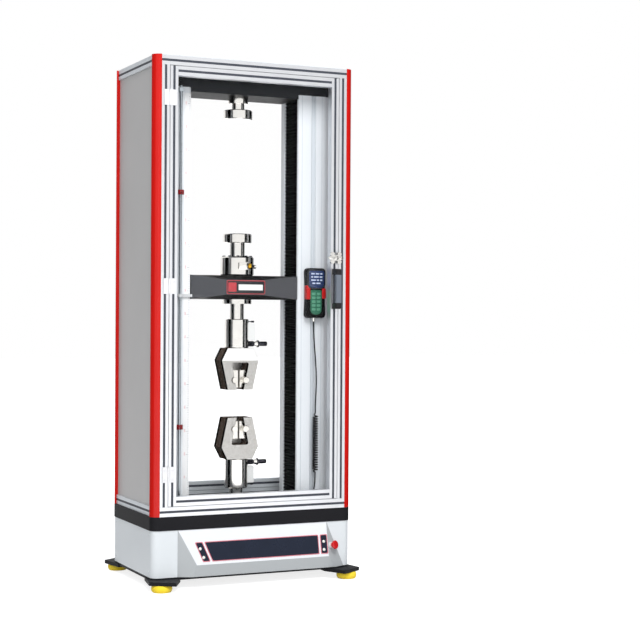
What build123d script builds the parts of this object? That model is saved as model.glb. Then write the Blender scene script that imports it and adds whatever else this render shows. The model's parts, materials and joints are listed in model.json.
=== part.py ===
# Floor-standing universal testing machine: twin ball-screw load frame inside a guarded enclosure.
# Millimetres, +Z up, +X to the machine's right, -Y towards the operator.
# The origin is on the floor, under the middle of the enclosure.
import os
from math import radians, tan

from build123d import *

os.makedirs("parts", exist_ok=True)

# Overall envelope
overall_height = 2232
enclosure_width = 922
enclosure_depth = 544
corner_radius = 34

# Base
pad_radius = 44
pad_height = 30
pad_waist = 6
pad_inset_x = 35
pad_outset_y = 28
ear_thickness = 15
ear_front_root = 127
ear_side_root = 92
ear_nose_back_x = 75
ear_nose_out_y = 97
ear_nose_out_x = 23
ear_nose_side_y = 37
plinth_bottom = 38
plinth_thickness = 12
plinth_inset = 5
cabinet_inset = 3
cabinet_wall = 4
cabinet_height = 197
table_thickness = 58

# Control console on the base front
console_left_inset = 115
console_right_inset = 121
console_shoulder_drop = 35
console_shoulder_proud = 8
console_lip_rise = 50
console_lip_proud = 32
console_foot_proud = 25
console_left_slope = 0.43
console_right_run = 2
plate_thickness = 1.5
plate_top_drop = 19
plate_height = 84
plate_slant = 32
plate_corner = 4
name_plate_left_inset = 113
name_plate_right_inset = 44
strip_width = 34
strip_gap = 8
estop_edge_distance = 20
estop_height = 144
estop_collar_radius = 15
estop_collar_height = 9
estop_neck_radius = 10
estop_head_radius = 19
estop_head_height = 16
estop_travel = 4
estop_clearance = 0.5
estop_rounding = 5

# Enclosure framing
stile_width = 35
rail_height = 40
bar_depth = 35
bar_joint = 0.2
slot_mouth = 10
slot_lip = 2.5
slot_cavity = 18
slot_depth = 9
post_rise = 3
side_rail_recess = 8
side_panel_recess = 15
side_panel_thickness = 6
pane_thickness = 5
pane_setback = 15
cover_thickness = 3

# Door
door_gap = 2
hinge_end_inset = 134
hinge_length = 65
hinge_leaf_width = 26
hinge_leaf_thickness = 6
knuckle_radius = 6
hinge_standoff = 0.6
pin_radius = 3
knuckle_gap = 0.5
handle_bottom = 1177
handle_length = 175
handle_reach = 46
handle_bar_depth = 18
handle_post = 24
handle_width = 24
handle_outer_corner = 14
handle_inner_corner = 6
latch_height = 1400
latch_hub_radius = 14
latch_lobe_radius = 10
latch_lobe_circle = 23
latch_thickness = 12
latch_standoff = 6
latch_spindle_radius = 4
latch_gap = 0.3
latch_tongue_length = 46
latch_tongue_height = 18
latch_tongue_thickness = 4

# Load frame
axis_y = -56
column_side_gap = 60
column_width = 150
column_depth = 188
column_shift = 1
column_wall = 6
column_front_wall = 13
column_rear_box = 35
column_groove_offset = 63
column_groove_width = 23
column_groove_depth = 5
column_step_width = 17
column_step_depth = 6
column_edge_radius = 11
beam_headroom = 47
beam_height = 64
beam_web_drop = 18
drive_offset = 79
drive_spacing = 64
screw_radius = 16
rod_radius = 16
running_clearance = 0.05
lower_bearing_radius = 35
upper_bearing_radius = 28
upper_bearing_length = 30
bellows_width = 22
bellows_margin = 1
bellows_gap = 0.5

# Drive in the base
pulley_bottom = 75
pulley_width = 30
screw_pulley_radius = 50
motor_pulley_radius = 30
pulley_flange = 4
pulley_rim = 3
belt_thickness = 5
belt_gap = 0.3
motor_y = 110
motor_size = 110
motor_length = 115
motor_flange = 130
motor_flange_thickness = 12
motor_shaft_radius = 9.5
motor_flange_corner = 10
motor_corner = 18

# Crosshead
crosshead_bottom = 1217
crosshead_height = 103
crosshead_end_gap = 1.3
crosshead_cover_depth = 20
crosshead_rear_gap = 2
cover_waist = 66
cover_waist_width = 172
arm_length = 134
arm_front_gap = 7
arm_rear_gap = 4
nut_radius = 23
nut_length = 73
nut_flange_radius = 31
nut_flange_thickness = 12

# Load string on the crosshead
cell_radius = 73
cell_height = 84
cell_edge = 6
cell_plug_radius = 9
cell_plug_reach = 15
platen_radius = 63
platen_thickness = 40
lower_platen_stem_radius = 33
lower_platen_stem = 60
upper_platen_stem_radius = 28
upper_platen_stem = 29
upper_flange_radius = 44
upper_flange_thickness = 28
platen_edge = 3

# Wedge grips
grip_flange_radius = 64
grip_flange_thickness = 20
upper_stem_radius = 31
upper_stem_length = 67
lower_stem_radius = 30
lower_stem_length = 65
grip_cylinder_radius = 52
grip_cylinder_length = 127
grip_cylinder_edge = 3
grip_height = 182
grip_depth = 94
grip_root_half = 59
grip_shoulder_half = 86
grip_shoulder_drop = 53
grip_mouth_half = 58
wedge_angle = 12
pocket_mouth_half = 16
pocket_height = 119
pocket_corner = 9
pocket_back_wall = 14
jaw_gap = 8
jaw_height = 76
jaw_side_clearance = 0.4
jaw_back_clearance = 1
jaw_face_setback = 2
jaw_button_radius = 13
jaw_button_height = 6
jaw_button_gap = 0.5
jaw_button_rise = 33
jaw_button_offset = 26
jaw_stem_radius = 5
jaw_stem_offset = 16
upper_jaw_inset = 9
lower_jaw_inset = 17
block_width = 28
block_depth = 30
block_height = 73
block_rise = 35
block_saddle = 10
lever_rise = 18
lever_spigot_radius = 6
lever_spigot_length = 15
lever_boss_radius = 11
lever_boss_length = 28
lever_flare_radius = 12.5
lever_collar_start = 44
lever_collar_radius = 14
lever_collar_length = 6
lever_neck_radius = 7
lever_grip_start = 57
lever_grip_radius = 9
lever_grip_edge = 3
lever_length = 92
lever_gap = 0.3

# Limit rod and travel stops
limit_rod_offset = 58
limit_rod_standoff = 29
limit_rod_radius = 6
limit_bracket_drop = 26
limit_bracket_height = 15
limit_bracket_width = 20
stop_radius = 15
stop_height = 20
stop_screw_radius = 4
stop_screw_length = 14
upper_stop_height = 1668
lower_stop_height = 671
limit_arm_rise = 7
limit_arm_thickness = 12
limit_arm_depth = 10
limit_arm_gap = 2
limit_arm_foot = 40
limit_arm_inset = 4.7
limit_eye_radius = 12
limit_eye_clearance = 0.5

# Hand pendant and its lead
pendant_offset = 74
pendant_bottom = 1137
pendant_height = 220
pendant_width = 94
pendant_waist = 84
pendant_thickness = 32
pendant_corner = 16
pendant_edge = 5
holder_thickness = 6
holder_width = 60
holder_height = 90
cord_radius = 3
coil_radius = 13.5
coil_shift = 5
coil_standoff = 25
coil_top = 722
coil_bottom = 445
socket_radius = 9
socket_height = 25
socket_shift = 9.5
socket_standoff = 29
bend_share = 0.45

# Levels and faces worked out from the sizes above
half_width = enclosure_width / 2
half_depth = enclosure_depth / 2
front = -half_depth
base_bottom = plinth_bottom + plinth_thickness
table_bottom = base_bottom + cabinet_height
table_top = table_bottom + table_thickness
rail_top = overall_height - post_rise
bar_inner_top = rail_top - rail_height
bar_inner_bottom = table_top + rail_height
post_inner_x = half_width - corner_radius
post_inner_y = half_depth - corner_radius
stile_inner_x = post_inner_x - stile_width
door_half = stile_inner_x - door_gap
door_bottom = bar_inner_bottom + door_gap
door_top = bar_inner_top - door_gap
hinge_heights = (door_bottom + hinge_end_inset, (door_bottom + door_top) / 2, door_top - hinge_end_inset)
pane_half = door_half - stile_width
pane_bottom = door_bottom + rail_height
pane_top = door_top - rail_height
cabinet_front = half_depth - cabinet_inset
console_left = half_width - console_left_inset
console_right_edge = half_width - console_right_inset
name_plate_left = console_left - name_plate_left_inset
name_plate_right = console_right_edge - name_plate_right_inset
column_outer = half_width - column_side_gap
column_inner = column_outer - column_width
column_top = overall_height - beam_headroom - beam_height
column_front = axis_y - column_depth / 2 + column_shift
column_rear = column_front + column_depth
opening_front = column_front + column_front_wall
opening_rear = column_rear - column_rear_box
drive_x = column_inner + drive_offset
arm_reach = column_inner + arm_length
limit_rod_x = column_inner + limit_rod_offset
pendant_x = column_inner + pendant_offset
screw_y = axis_y - drive_spacing / 2
rod_y = axis_y + drive_spacing / 2
crosshead_top = crosshead_bottom + crosshead_height
beam_bottom = column_top - beam_web_drop
limit_rod_y = column_front - limit_rod_standoff
drive_points = ((-drive_x, screw_y), (drive_x, screw_y))
rod_points = ((-drive_x, rod_y), (drive_x, rod_y))


def finish(piece, label):
    piece.part.label = label
    export_step(piece.part, f"parts/{label}.step")


def slotted_section(width, depth):
    # Extruded bar section with an undercut slot in the middle of its two outer faces.
    with BuildSketch() as section:
        Rectangle(width, depth)
        with Locations((0, depth / 2), (0, -depth / 2)):
            Rectangle(slot_mouth, 2 * slot_depth, mode=Mode.SUBTRACT)
        cavity = slot_depth - slot_lip
        cavity_y = depth / 2 - slot_lip - cavity / 2
        with Locations((0, cavity_y), (0, -cavity_y)):
            Rectangle(slot_cavity, cavity, mode=Mode.SUBTRACT)
    return section.sketch


stile_section = slotted_section(stile_width, bar_depth)
rail_section = slotted_section(rail_height, bar_depth)


def rail_plane_x(start_x, y, z):
    return Plane(origin=(start_x, y, z), x_dir=(0, 0, 1), z_dir=(1, 0, 0))


def rail_plane_y(x, start_y, z):
    return Plane(origin=(x, start_y, z), x_dir=(0, 0, 1), z_dir=(0, 1, 0))


# Foot pads: rounded pucks under the four ears of the base frame
pad_points = [
    (side * (half_width - pad_inset_x), end * (half_depth + pad_outset_y))
    for side in (-1, 1)
    for end in (-1, 1)
]
with BuildPart() as pad:
    with BuildSketch(Plane.XZ):
        with BuildLine():
            pad_flat = pad_radius - pad_waist
            rim = Polyline((pad_flat, pad_height), (0, pad_height), (0, 0), (pad_flat, 0))
            ThreePointArc(rim @ 1, (pad_radius, pad_height / 2), rim @ 0)
        make_face()
    revolve(axis=Axis.Z)
with BuildPart() as foot_pads:
    with Locations(*[(x, y, 0) for x, y in pad_points]):
        add(pad.part)
finish(foot_pads, "foot_pads")

# Base frame: plinth plate with an outrigger ear welded under each corner
with BuildPart() as base_frame:
    with BuildSketch(Plane.XY.offset(plinth_bottom)):
        RectangleRounded(
            enclosure_width - 2 * plinth_inset,
            enclosure_depth - 2 * plinth_inset,
            corner_radius - plinth_inset,
        )
    extrude(amount=plinth_thickness)
    with BuildSketch(Plane.XY.offset(pad_height)):
        with BuildLine():
            Polyline(
                (half_width - ear_front_root, half_depth - ear_side_root),
                (half_width - ear_front_root, half_depth),
                (half_width - ear_nose_back_x, half_depth + ear_nose_out_y),
                (half_width + ear_nose_out_x, half_depth + ear_nose_side_y),
                (half_width, half_depth - ear_side_root),
                close=True,
            )
        make_face()
        mirror(about=Plane.YZ)
        mirror(about=Plane.XZ)
    extrude(amount=ear_thickness)
finish(base_frame, "base_frame")

# Base cabinet: sheet-metal skirt with rounded corners, open inside for the drive
with BuildPart() as base_cabinet:
    with BuildSketch(Plane.XY.offset(base_bottom)):
        outer_width = enclosure_width - 2 * cabinet_inset
        outer_depth = enclosure_depth - 2 * cabinet_inset
        outer_corner = corner_radius - cabinet_inset
        RectangleRounded(outer_width, outer_depth, outer_corner)
        RectangleRounded(
            outer_width - 2 * cabinet_wall,
            outer_depth - 2 * cabinet_wall,
            outer_corner - cabinet_wall,
            mode=Mode.SUBTRACT,
        )
    extrude(amount=cabinet_height)
finish(base_cabinet, "base_cabinet")

# Control console: wedge on the base front, its ends cut back by slanted planes
shoulder_z = table_bottom - console_shoulder_drop
lip_z = base_bottom + console_lip_rise
shoulder_y = -cabinet_front - console_shoulder_proud
lip_y = -cabinet_front - console_lip_proud
face_fall = Vector(0, lip_y - shoulder_y, lip_z - shoulder_z)
face_plane = Plane(
    origin=(0, shoulder_y, shoulder_z), x_dir=(1, 0, 0), z_dir=(0, face_fall.Z, -face_fall.Y)
)
left_cut = Plane(
    origin=(-console_left, -cabinet_front, base_bottom), x_dir=(0, 0, 1), z_dir=(-console_left_slope, -1, 0)
)
right_cut = Plane(
    origin=(console_right_edge, shoulder_y, shoulder_z),
    x_dir=(console_right_run, 1, 0),
    z_dir=face_fall.cross(Vector(console_right_run, 1, 0)),
)
with BuildPart() as control_console:
    with BuildSketch(Plane(origin=(-console_left, 0, 0), x_dir=(0, 1, 0), z_dir=(1, 0, 0))):
        with BuildLine():
            Polyline(
                (-cabinet_front, table_bottom),
                (shoulder_y, shoulder_z),
                (lip_y, lip_z),
                (-cabinet_front - console_foot_proud, base_bottom),
                (-cabinet_front, base_bottom),
                close=True,
            )
        make_face()
    extrude(amount=console_left + half_width - corner_radius)
    split(bisect_by=left_cut, keep=Keep.BOTTOM)
    split(bisect_by=right_cut, keep=Keep.BOTTOM)
finish(control_console, "control_console")

# Panel plates: blank name plate between two indicator strips on the sloping face
with BuildPart() as panel_plates:
    with BuildSketch(face_plane):
        top_edge = -plate_top_drop
        low_edge = top_edge - plate_height
        strip_left = name_plate_left + strip_gap
        with BuildLine():
            Polyline(
                (-name_plate_left, top_edge),
                (name_plate_right, top_edge),
                (name_plate_right, low_edge),
                (-name_plate_left + plate_slant, low_edge),
                close=True,
            )
        make_face()
        with BuildLine():
            Polyline(
                (-strip_left - strip_width, top_edge),
                (-strip_left, top_edge),
                (-strip_left + plate_slant, low_edge),
                (-strip_left - strip_width + plate_slant, low_edge),
                close=True,
            )
        make_face()
        with Locations((name_plate_right + strip_gap, top_edge)):
            Rectangle(strip_width, plate_height, align=(Align.MIN, Align.MAX))
    extrude(amount=plate_thickness)
    fillet(panel_plates.edges().filter_by(Axis((0, 0, 0), face_plane.z_dir)), plate_corner)
finish(panel_plates, "panel_plates")

# Emergency stop on the console's right-hand facet: collar and mushroom button
estop_drop = (shoulder_z - estop_height) / (shoulder_z - lip_z)
estop_edge = Vector(console_right_edge, shoulder_y + estop_drop * (lip_y - shoulder_y), estop_height)
estop_centre = estop_edge + Vector(console_right_run, 1, 0).normalized() * estop_edge_distance
estop_plane = Plane(origin=estop_centre, z_dir=right_cut.z_dir)
with BuildPart() as estop_collar:
    with BuildSketch(estop_plane):
        Circle(estop_collar_radius)
        Circle(estop_neck_radius + running_clearance, mode=Mode.SUBTRACT)
    extrude(amount=estop_collar_height)
finish(estop_collar, "estop_collar")
neck_foot = estop_travel + estop_clearance
head_foot = estop_collar_height + estop_travel + estop_clearance
head_top = head_foot + estop_head_height
estop_section = Plane(origin=estop_centre, x_dir=estop_plane.x_dir, z_dir=-estop_plane.y_dir)
with BuildPart() as estop_button:
    with BuildSketch(estop_section) as estop_outline:
        Polygon(
            (0, neck_foot),
            (estop_neck_radius, neck_foot),
            (estop_neck_radius, head_foot),
            (estop_head_radius, head_foot + estop_head_height / 2),
            (estop_head_radius, head_top),
            (0, head_top),
            align=None,
        )
        fillet(estop_outline.vertices().sort_by_distance((estop_head_radius, head_top))[0], estop_rounding)
    revolve(axis=Axis(estop_centre, estop_plane.z_dir))
finish(estop_button, "estop_button")

# Table plate, bored for the two lower screw bearings
with BuildPart() as table_plate:
    with BuildSketch(Plane.XY.offset(table_bottom)):
        RectangleRounded(enclosure_width, enclosure_depth, corner_radius)
        with Locations(*drive_points):
            Circle(lower_bearing_radius + running_clearance, mode=Mode.SUBTRACT)
    extrude(amount=table_thickness)
finish(table_plate, "table_plate")

# Column covers: extruded profiles, open on the inner side, with a boxed rear wall
with BuildPart() as columns:
    with BuildSketch(Plane.XY.offset(table_top)):
        with Locations((column_inner, column_front)):
            Rectangle(column_width, column_depth, align=(Align.MIN, Align.MIN))
        with Locations((column_inner, opening_front)):
            Rectangle(
                column_width - column_wall,
                opening_rear - opening_front,
                align=(Align.MIN, Align.MIN),
                mode=Mode.SUBTRACT,
            )
        with Locations((column_inner + column_wall, opening_rear + column_wall)):
            Rectangle(
                column_width - 2 * column_wall,
                column_rear_box - 2 * column_wall,
                align=(Align.MIN, Align.MIN),
                mode=Mode.SUBTRACT,
            )
        with Locations((column_inner + column_groove_offset, column_front)):
            Rectangle(
                column_groove_width, column_groove_depth, align=(Align.MIN, Align.MIN), mode=Mode.SUBTRACT
            )
        with Locations((column_outer, column_front)):
            Rectangle(
                column_step_width, column_step_depth, align=(Align.MAX, Align.MIN), mode=Mode.SUBTRACT
            )
    extrude(amount=column_top - table_top)
    upright_edges = columns.edges().filter_by(Axis.Z)
    fillet(upright_edges.sort_by_distance((column_inner, column_front, 0))[0], column_edge_radius)
    mirror(about=Plane.YZ)
finish(columns, "columns")

# Guide rods inside the columns
with BuildPart() as guide_rods:
    with BuildSketch(Plane.XY.offset(table_top)):
        with Locations(*rod_points):
            Circle(rod_radius)
    extrude(amount=column_top - table_top)
finish(guide_rods, "guide_rods")

# Screw bearings: one ring in the table and one in the upper beam for each screw
with BuildPart() as screw_bearings:
    with BuildSketch(Plane.XY.offset(table_bottom)):
        with Locations(*drive_points):
            Circle(lower_bearing_radius)
            Circle(screw_radius + running_clearance, mode=Mode.SUBTRACT)
    extrude(amount=table_thickness)
    with BuildSketch(Plane.XY.offset(column_top)):
        with Locations(*drive_points):
            Circle(upper_bearing_radius)
            Circle(screw_radius + running_clearance, mode=Mode.SUBTRACT)
    extrude(amount=upper_bearing_length)
finish(screw_bearings, "screw_bearings")

# Upper beam across the column tops, with a web hanging between the columns
with BuildPart() as upper_beam:
    with BuildSketch(Plane.XY.offset(column_top)):
        with Locations((0, column_front)):
            Rectangle(2 * column_outer, column_depth, align=(Align.CENTER, Align.MIN))
    extrude(amount=beam_height)
    with BuildSketch(Plane.XY.offset(column_top)):
        with Locations((0, column_front)):
            Rectangle(2 * column_inner, column_depth, align=(Align.CENTER, Align.MIN))
    extrude(amount=-beam_web_drop)
    with BuildSketch(Plane.XY.offset(column_top)):
        with Locations(*drive_points):
            Circle(upper_bearing_radius + running_clearance)
    extrude(amount=upper_bearing_length, mode=Mode.SUBTRACT)
finish(upper_beam, "upper_beam")

# Ball screws with their belt pulleys at the lower end
pulley_top = pulley_bottom + pulley_width
screw_top = column_top + upper_bearing_length - bellows_gap
screw_bottom = pulley_bottom - pulley_flange


def screw_with_pulley(x):
    with BuildPart() as screw:
        with BuildSketch(Plane.XY.offset(screw_bottom)):
            with Locations((x, screw_y)):
                Circle(screw_radius)
        extrude(amount=screw_top - screw_bottom)
        with BuildSketch(Plane.XY.offset(pulley_bottom)):
            with Locations((x, screw_y)):
                Circle(screw_pulley_radius)
        extrude(amount=pulley_width)
        with BuildSketch(Plane.XY.offset(pulley_bottom), Plane.XY.offset(pulley_top - pulley_rim)):
            with Locations((x, screw_y)):
                Circle(screw_pulley_radius + pulley_flange)
        extrude(amount=pulley_rim)
    return screw


left_screw = screw_with_pulley(-drive_x)
finish(left_screw, "left_screw")
right_screw = screw_with_pulley(drive_x)
finish(right_screw, "right_screw")

# Servo motor hanging under the table, its pulley and the belt round all three pulleys
motor_flange_bottom = table_bottom - motor_flange_thickness
motor_bottom = motor_flange_bottom - motor_length
with BuildPart() as servo_motor:
    with BuildSketch(Plane.XY.offset(motor_flange_bottom)):
        with Locations((0, motor_y)):
            RectangleRounded(motor_flange, motor_flange, motor_flange_corner)
    extrude(amount=motor_flange_thickness)
    with BuildSketch(Plane.XY.offset(motor_bottom)):
        with Locations((0, motor_y)):
            RectangleRounded(motor_size, motor_size, motor_corner)
    extrude(amount=motor_length)
finish(servo_motor, "servo_motor")
with BuildPart() as motor_pulley:
    with BuildSketch(Plane.XY.offset(pulley_bottom)):
        with Locations((0, motor_y)):
            Circle(motor_pulley_radius)
    extrude(amount=pulley_width)
    with BuildSketch(Plane.XY.offset(pulley_bottom), Plane.XY.offset(pulley_top - pulley_rim)):
        with Locations((0, motor_y)):
            Circle(motor_pulley_radius + pulley_flange)
    extrude(amount=pulley_rim)
    with BuildSketch(Plane.XY.offset(pulley_bottom)):
        with Locations((0, motor_y)):
            Circle(motor_shaft_radius)
    extrude(amount=motor_bottom - belt_gap - pulley_bottom)
finish(motor_pulley, "motor_pulley")


def belt_outline(growth):
    with BuildSketch() as outline:
        with Locations(*drive_points):
            Circle(screw_pulley_radius + growth)
        with Locations((0, motor_y)):
            Circle(motor_pulley_radius + growth)
        make_hull()
    return outline.sketch


with BuildPart() as drive_belt:
    with BuildSketch(Plane.XY.offset(pulley_bottom + pulley_rim + belt_gap)):
        add(belt_outline(belt_gap + belt_thickness))
        add(belt_outline(belt_gap), mode=Mode.SUBTRACT)
    extrude(amount=pulley_width - 2 * (pulley_rim + belt_gap))
finish(drive_belt, "drive_belt")

# Corner posts: quarter-round painted columns of the enclosure
with BuildPart() as corner_posts:
    with BuildSketch(Plane.XY.offset(table_top)):
        with BuildLine():
            Polyline(
                (half_width, post_inner_y), (post_inner_x, post_inner_y), (post_inner_x, half_depth)
            )
            CenterArc((post_inner_x, post_inner_y), corner_radius, 0, 90)
        make_face()
        mirror(about=Plane.YZ)
        mirror(about=Plane.XZ)
    extrude(amount=overall_height - table_top)
finish(corner_posts, "corner_posts")

# Front frame: two rails between the posts and two stiles between the rails
front_bar_y = front + bar_depth / 2
rail_levels = (table_top + rail_height / 2, rail_top - rail_height / 2)
with BuildPart() as front_frame:
    with BuildSketch(*[rail_plane_x(-post_inner_x, front_bar_y, z) for z in rail_levels]):
        add(rail_section)
    extrude(amount=2 * post_inner_x)
    with BuildSketch(Plane.XY.offset(bar_inner_bottom + bar_joint)):
        with Locations(*[(side * (post_inner_x - stile_width / 2), front_bar_y) for side in (-1, 1)]):
            add(stile_section)
    extrude(amount=bar_inner_top - bar_inner_bottom - 2 * bar_joint)
finish(front_frame, "front_frame")

# Rear and side rails between the posts
side_bar_x = half_width - side_rail_recess - bar_depth / 2
side_rail_half = half_depth - bar_depth - bar_joint
with BuildPart() as rear_frame:
    with BuildSketch(*[rail_plane_x(-post_inner_x, -front_bar_y, z) for z in rail_levels]):
        add(rail_section)
    extrude(amount=2 * post_inner_x)
    with BuildSketch(*[
        rail_plane_y(side * side_bar_x, -side_rail_half, z) for side in (-1, 1) for z in rail_levels
    ]):
        add(rail_section)
    extrude(amount=2 * side_rail_half)
finish(rear_frame, "rear_frame")

# Side panels of painted sheet, clear rear panel and roof sheet
with BuildPart() as side_panels:
    with BuildSketch(Plane.XY.offset(bar_inner_bottom)):
        with Locations(*[
            (side * (half_width - side_panel_recess - side_panel_thickness / 2), 0) for side in (-1, 1)
        ]):
            Rectangle(side_panel_thickness, 2 * post_inner_y)
    extrude(amount=bar_inner_top - bar_inner_bottom)
finish(side_panels, "side_panels")
with BuildPart() as rear_panel:
    with BuildSketch(Plane.XY.offset(bar_inner_bottom)):
        with Locations((0, half_depth - pane_setback - pane_thickness / 2)):
            Rectangle(2 * post_inner_x, pane_thickness)
    extrude(amount=bar_inner_top - bar_inner_bottom)
finish(rear_panel, "rear_panel")
with BuildPart() as top_cover:
    with BuildSketch(Plane.XY.offset(rail_top)):
        Rectangle(2 * (half_width - side_rail_recess), 2 * post_inner_y)
        Rectangle(2 * post_inner_x, enclosure_depth)
    extrude(amount=cover_thickness)
finish(top_cover, "top_cover")

# Bellows over the column openings, above and below the crosshead
bellows_depth = opening_rear - opening_front - 2 * bellows_margin
bellows_points = [
    (side * (column_inner + bellows_margin + bellows_width / 2), (opening_front + opening_rear) / 2)
    for side in (-1, 1)
]
with BuildPart() as upper_bellows:
    with BuildSketch(Plane.XY.offset(crosshead_top + bellows_gap)):
        with Locations(*bellows_points):
            Rectangle(bellows_width, bellows_depth)
    extrude(amount=column_top - crosshead_top - bellows_gap)
finish(upper_bellows, "upper_bellows")
with BuildPart() as lower_bellows:
    with BuildSketch(Plane.XY.offset(table_top)):
        with Locations(*bellows_points):
            Rectangle(bellows_width, bellows_depth)
    extrude(amount=crosshead_bottom - table_top - bellows_gap)
finish(lower_bellows, "lower_bellows")

# Turned pieces on the load axis are revolved from (radius, level) outlines
load_axis = Axis((0, axis_y, 0), (0, 0, 1))
turning_plane = Plane.XZ.offset(-axis_y)


def turned_outline(*points):
    with BuildSketch() as outline:
        with BuildLine():
            Polyline(*points, close=True)
        make_face()
    return outline.sketch


# Upper compression platen under the beam, turned in one piece with its bolting flange
with BuildPart() as upper_platen:
    flange_z = beam_bottom - upper_flange_thickness
    disc_top = flange_z - upper_platen_stem
    disc_bottom = disc_top - platen_thickness
    with BuildSketch(turning_plane):
        add(
            turned_outline(
                (0, beam_bottom),
                (upper_flange_radius, beam_bottom),
                (upper_flange_radius, flange_z),
                (upper_platen_stem_radius, flange_z),
                (upper_platen_stem_radius, disc_top),
                (platen_radius - platen_edge, disc_top),
                (platen_radius, disc_top - platen_edge),
                (platen_radius, disc_bottom + platen_edge),
                (platen_radius - platen_edge, disc_bottom),
                (0, disc_bottom),
            )
        )
    revolve(axis=load_axis)
finish(upper_platen, "upper_platen")

# Crosshead: beam between the columns with an arm into each column
crosshead_end = column_inner - crosshead_end_gap
beam_front = column_front + crosshead_cover_depth
arm_front = opening_front + arm_front_gap
arm_rear = opening_rear - arm_rear_gap
with BuildPart() as crosshead_beam:
    with BuildSketch(Plane.XY.offset(crosshead_bottom)):
        with Locations((0, beam_front)):
            Rectangle(
                2 * crosshead_end,
                column_rear - crosshead_rear_gap - beam_front,
                align=(Align.CENTER, Align.MIN),
            )
        with Locations((0, arm_front)):
            Rectangle(2 * arm_reach, arm_rear - arm_front, align=(Align.CENTER, Align.MIN))
        with Locations(*drive_points):
            Circle(nut_radius + running_clearance, mode=Mode.SUBTRACT)
        with Locations(*rod_points):
            Circle(rod_radius + running_clearance, mode=Mode.SUBTRACT)
    extrude(amount=crosshead_height)
finish(crosshead_beam, "crosshead_beam")

# Crosshead cover: front casing whose top and bottom bevels deepen towards the middle
crosshead_mid = crosshead_bottom + crosshead_height / 2


def cover_outline(waist):
    half_height = crosshead_height / 2
    half_waist = cover_waist_width / 2
    with BuildSketch() as outline:
        with Locations((0, crosshead_mid)):
            Polygon(
                (-crosshead_end, -half_height),
                (-half_waist, -waist / 2),
                (half_waist, -waist / 2),
                (crosshead_end, -half_height),
                (crosshead_end, half_height),
                (half_waist, waist / 2),
                (-half_waist, waist / 2),
                (-crosshead_end, half_height),
                align=None,
            )
    return outline.sketch


with BuildPart() as crosshead_cover:
    with BuildSketch(Plane.XZ.offset(-beam_front)):
        add(cover_outline(crosshead_height))
    with BuildSketch(Plane.XZ.offset(-column_front)):
        add(cover_outline(cover_waist))
    loft(ruled=True)
finish(crosshead_cover, "crosshead_cover")

# Ball nuts bolted up into the crosshead arms
with BuildPart() as ball_nuts:
    with BuildSketch(Plane.XY.offset(crosshead_bottom)):
        with Locations(*drive_points):
            Circle(nut_radius)
            Circle(screw_radius + running_clearance, mode=Mode.SUBTRACT)
    extrude(amount=nut_length)
    with BuildSketch(Plane.XY.offset(crosshead_bottom)):
        with Locations(*drive_points):
            Circle(nut_flange_radius)
            Circle(screw_radius + running_clearance, mode=Mode.SUBTRACT)
    extrude(amount=-nut_flange_thickness)
finish(ball_nuts, "ball_nuts")

# Load cell on the crosshead, with its cable socket on the right
cell_top = crosshead_top + cell_height
with BuildPart() as load_cell:
    with BuildSketch(turning_plane):
        add(
            turned_outline(
                (0, crosshead_top),
                (cell_radius - cell_edge, crosshead_top),
                (cell_radius, crosshead_top + cell_edge),
                (cell_radius, cell_top - cell_edge),
                (cell_radius - cell_edge, cell_top),
                (0, cell_top),
            )
        )
    revolve(axis=load_axis)
    with BuildSketch(Plane(origin=(0, axis_y, crosshead_top + cell_height / 2), z_dir=(1, 0, 0))):
        Circle(cell_plug_radius)
    extrude(amount=cell_radius + cell_plug_reach)
finish(load_cell, "load_cell")

# Lower compression platen on the load cell
with BuildPart() as lower_platen:
    low_disc = cell_top + lower_platen_stem
    high_disc = low_disc + platen_thickness
    with BuildSketch(turning_plane):
        add(
            turned_outline(
                (0, cell_top),
                (lower_platen_stem_radius, cell_top),
                (lower_platen_stem_radius, low_disc),
                (platen_radius - platen_edge, low_disc),
                (platen_radius, low_disc + platen_edge),
                (platen_radius, high_disc - platen_edge),
                (platen_radius - platen_edge, high_disc),
                (0, high_disc),
            )
        )
    revolve(axis=load_axis)
finish(lower_platen, "lower_platen")

# Wedge grips: one hangs under the crosshead, the other stands on the table facing it
grip_front = axis_y - grip_depth / 2
upper_stem_end = crosshead_bottom - grip_flange_thickness - upper_stem_length
upper_root = upper_stem_end - grip_cylinder_length
upper_mouth = upper_root - grip_height
lower_stem_end = table_top + grip_flange_thickness + lower_stem_length
lower_root = lower_stem_end + grip_cylinder_length
lower_mouth = lower_root + grip_height
upper_grip_plane = Plane(origin=(0, grip_front, upper_mouth), x_dir=(1, 0, 0), z_dir=(0, -1, 0))
lower_grip_plane = Plane(origin=(0, grip_front, lower_mouth), x_dir=(-1, 0, 0), z_dir=(0, -1, 0))
with BuildPart() as upper_grip_stem:
    with BuildSketch(turning_plane):
        add(
            turned_outline(
                (0, crosshead_bottom),
                (grip_flange_radius, crosshead_bottom),
                (grip_flange_radius, crosshead_bottom - grip_flange_thickness),
                (upper_stem_radius, crosshead_bottom - grip_flange_thickness),
                (upper_stem_radius, upper_stem_end),
                (0, upper_stem_end),
            )
        )
    revolve(axis=load_axis)
finish(upper_grip_stem, "upper_grip_stem")
with BuildPart() as lower_grip_stem:
    with BuildSketch(turning_plane):
        add(
            turned_outline(
                (0, table_top),
                (grip_flange_radius, table_top),
                (grip_flange_radius, table_top + grip_flange_thickness),
                (lower_stem_radius, table_top + grip_flange_thickness),
                (lower_stem_radius, lower_stem_end),
                (0, lower_stem_end),
            )
        )
    revolve(axis=load_axis)
finish(lower_grip_stem, "lower_grip_stem")


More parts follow.
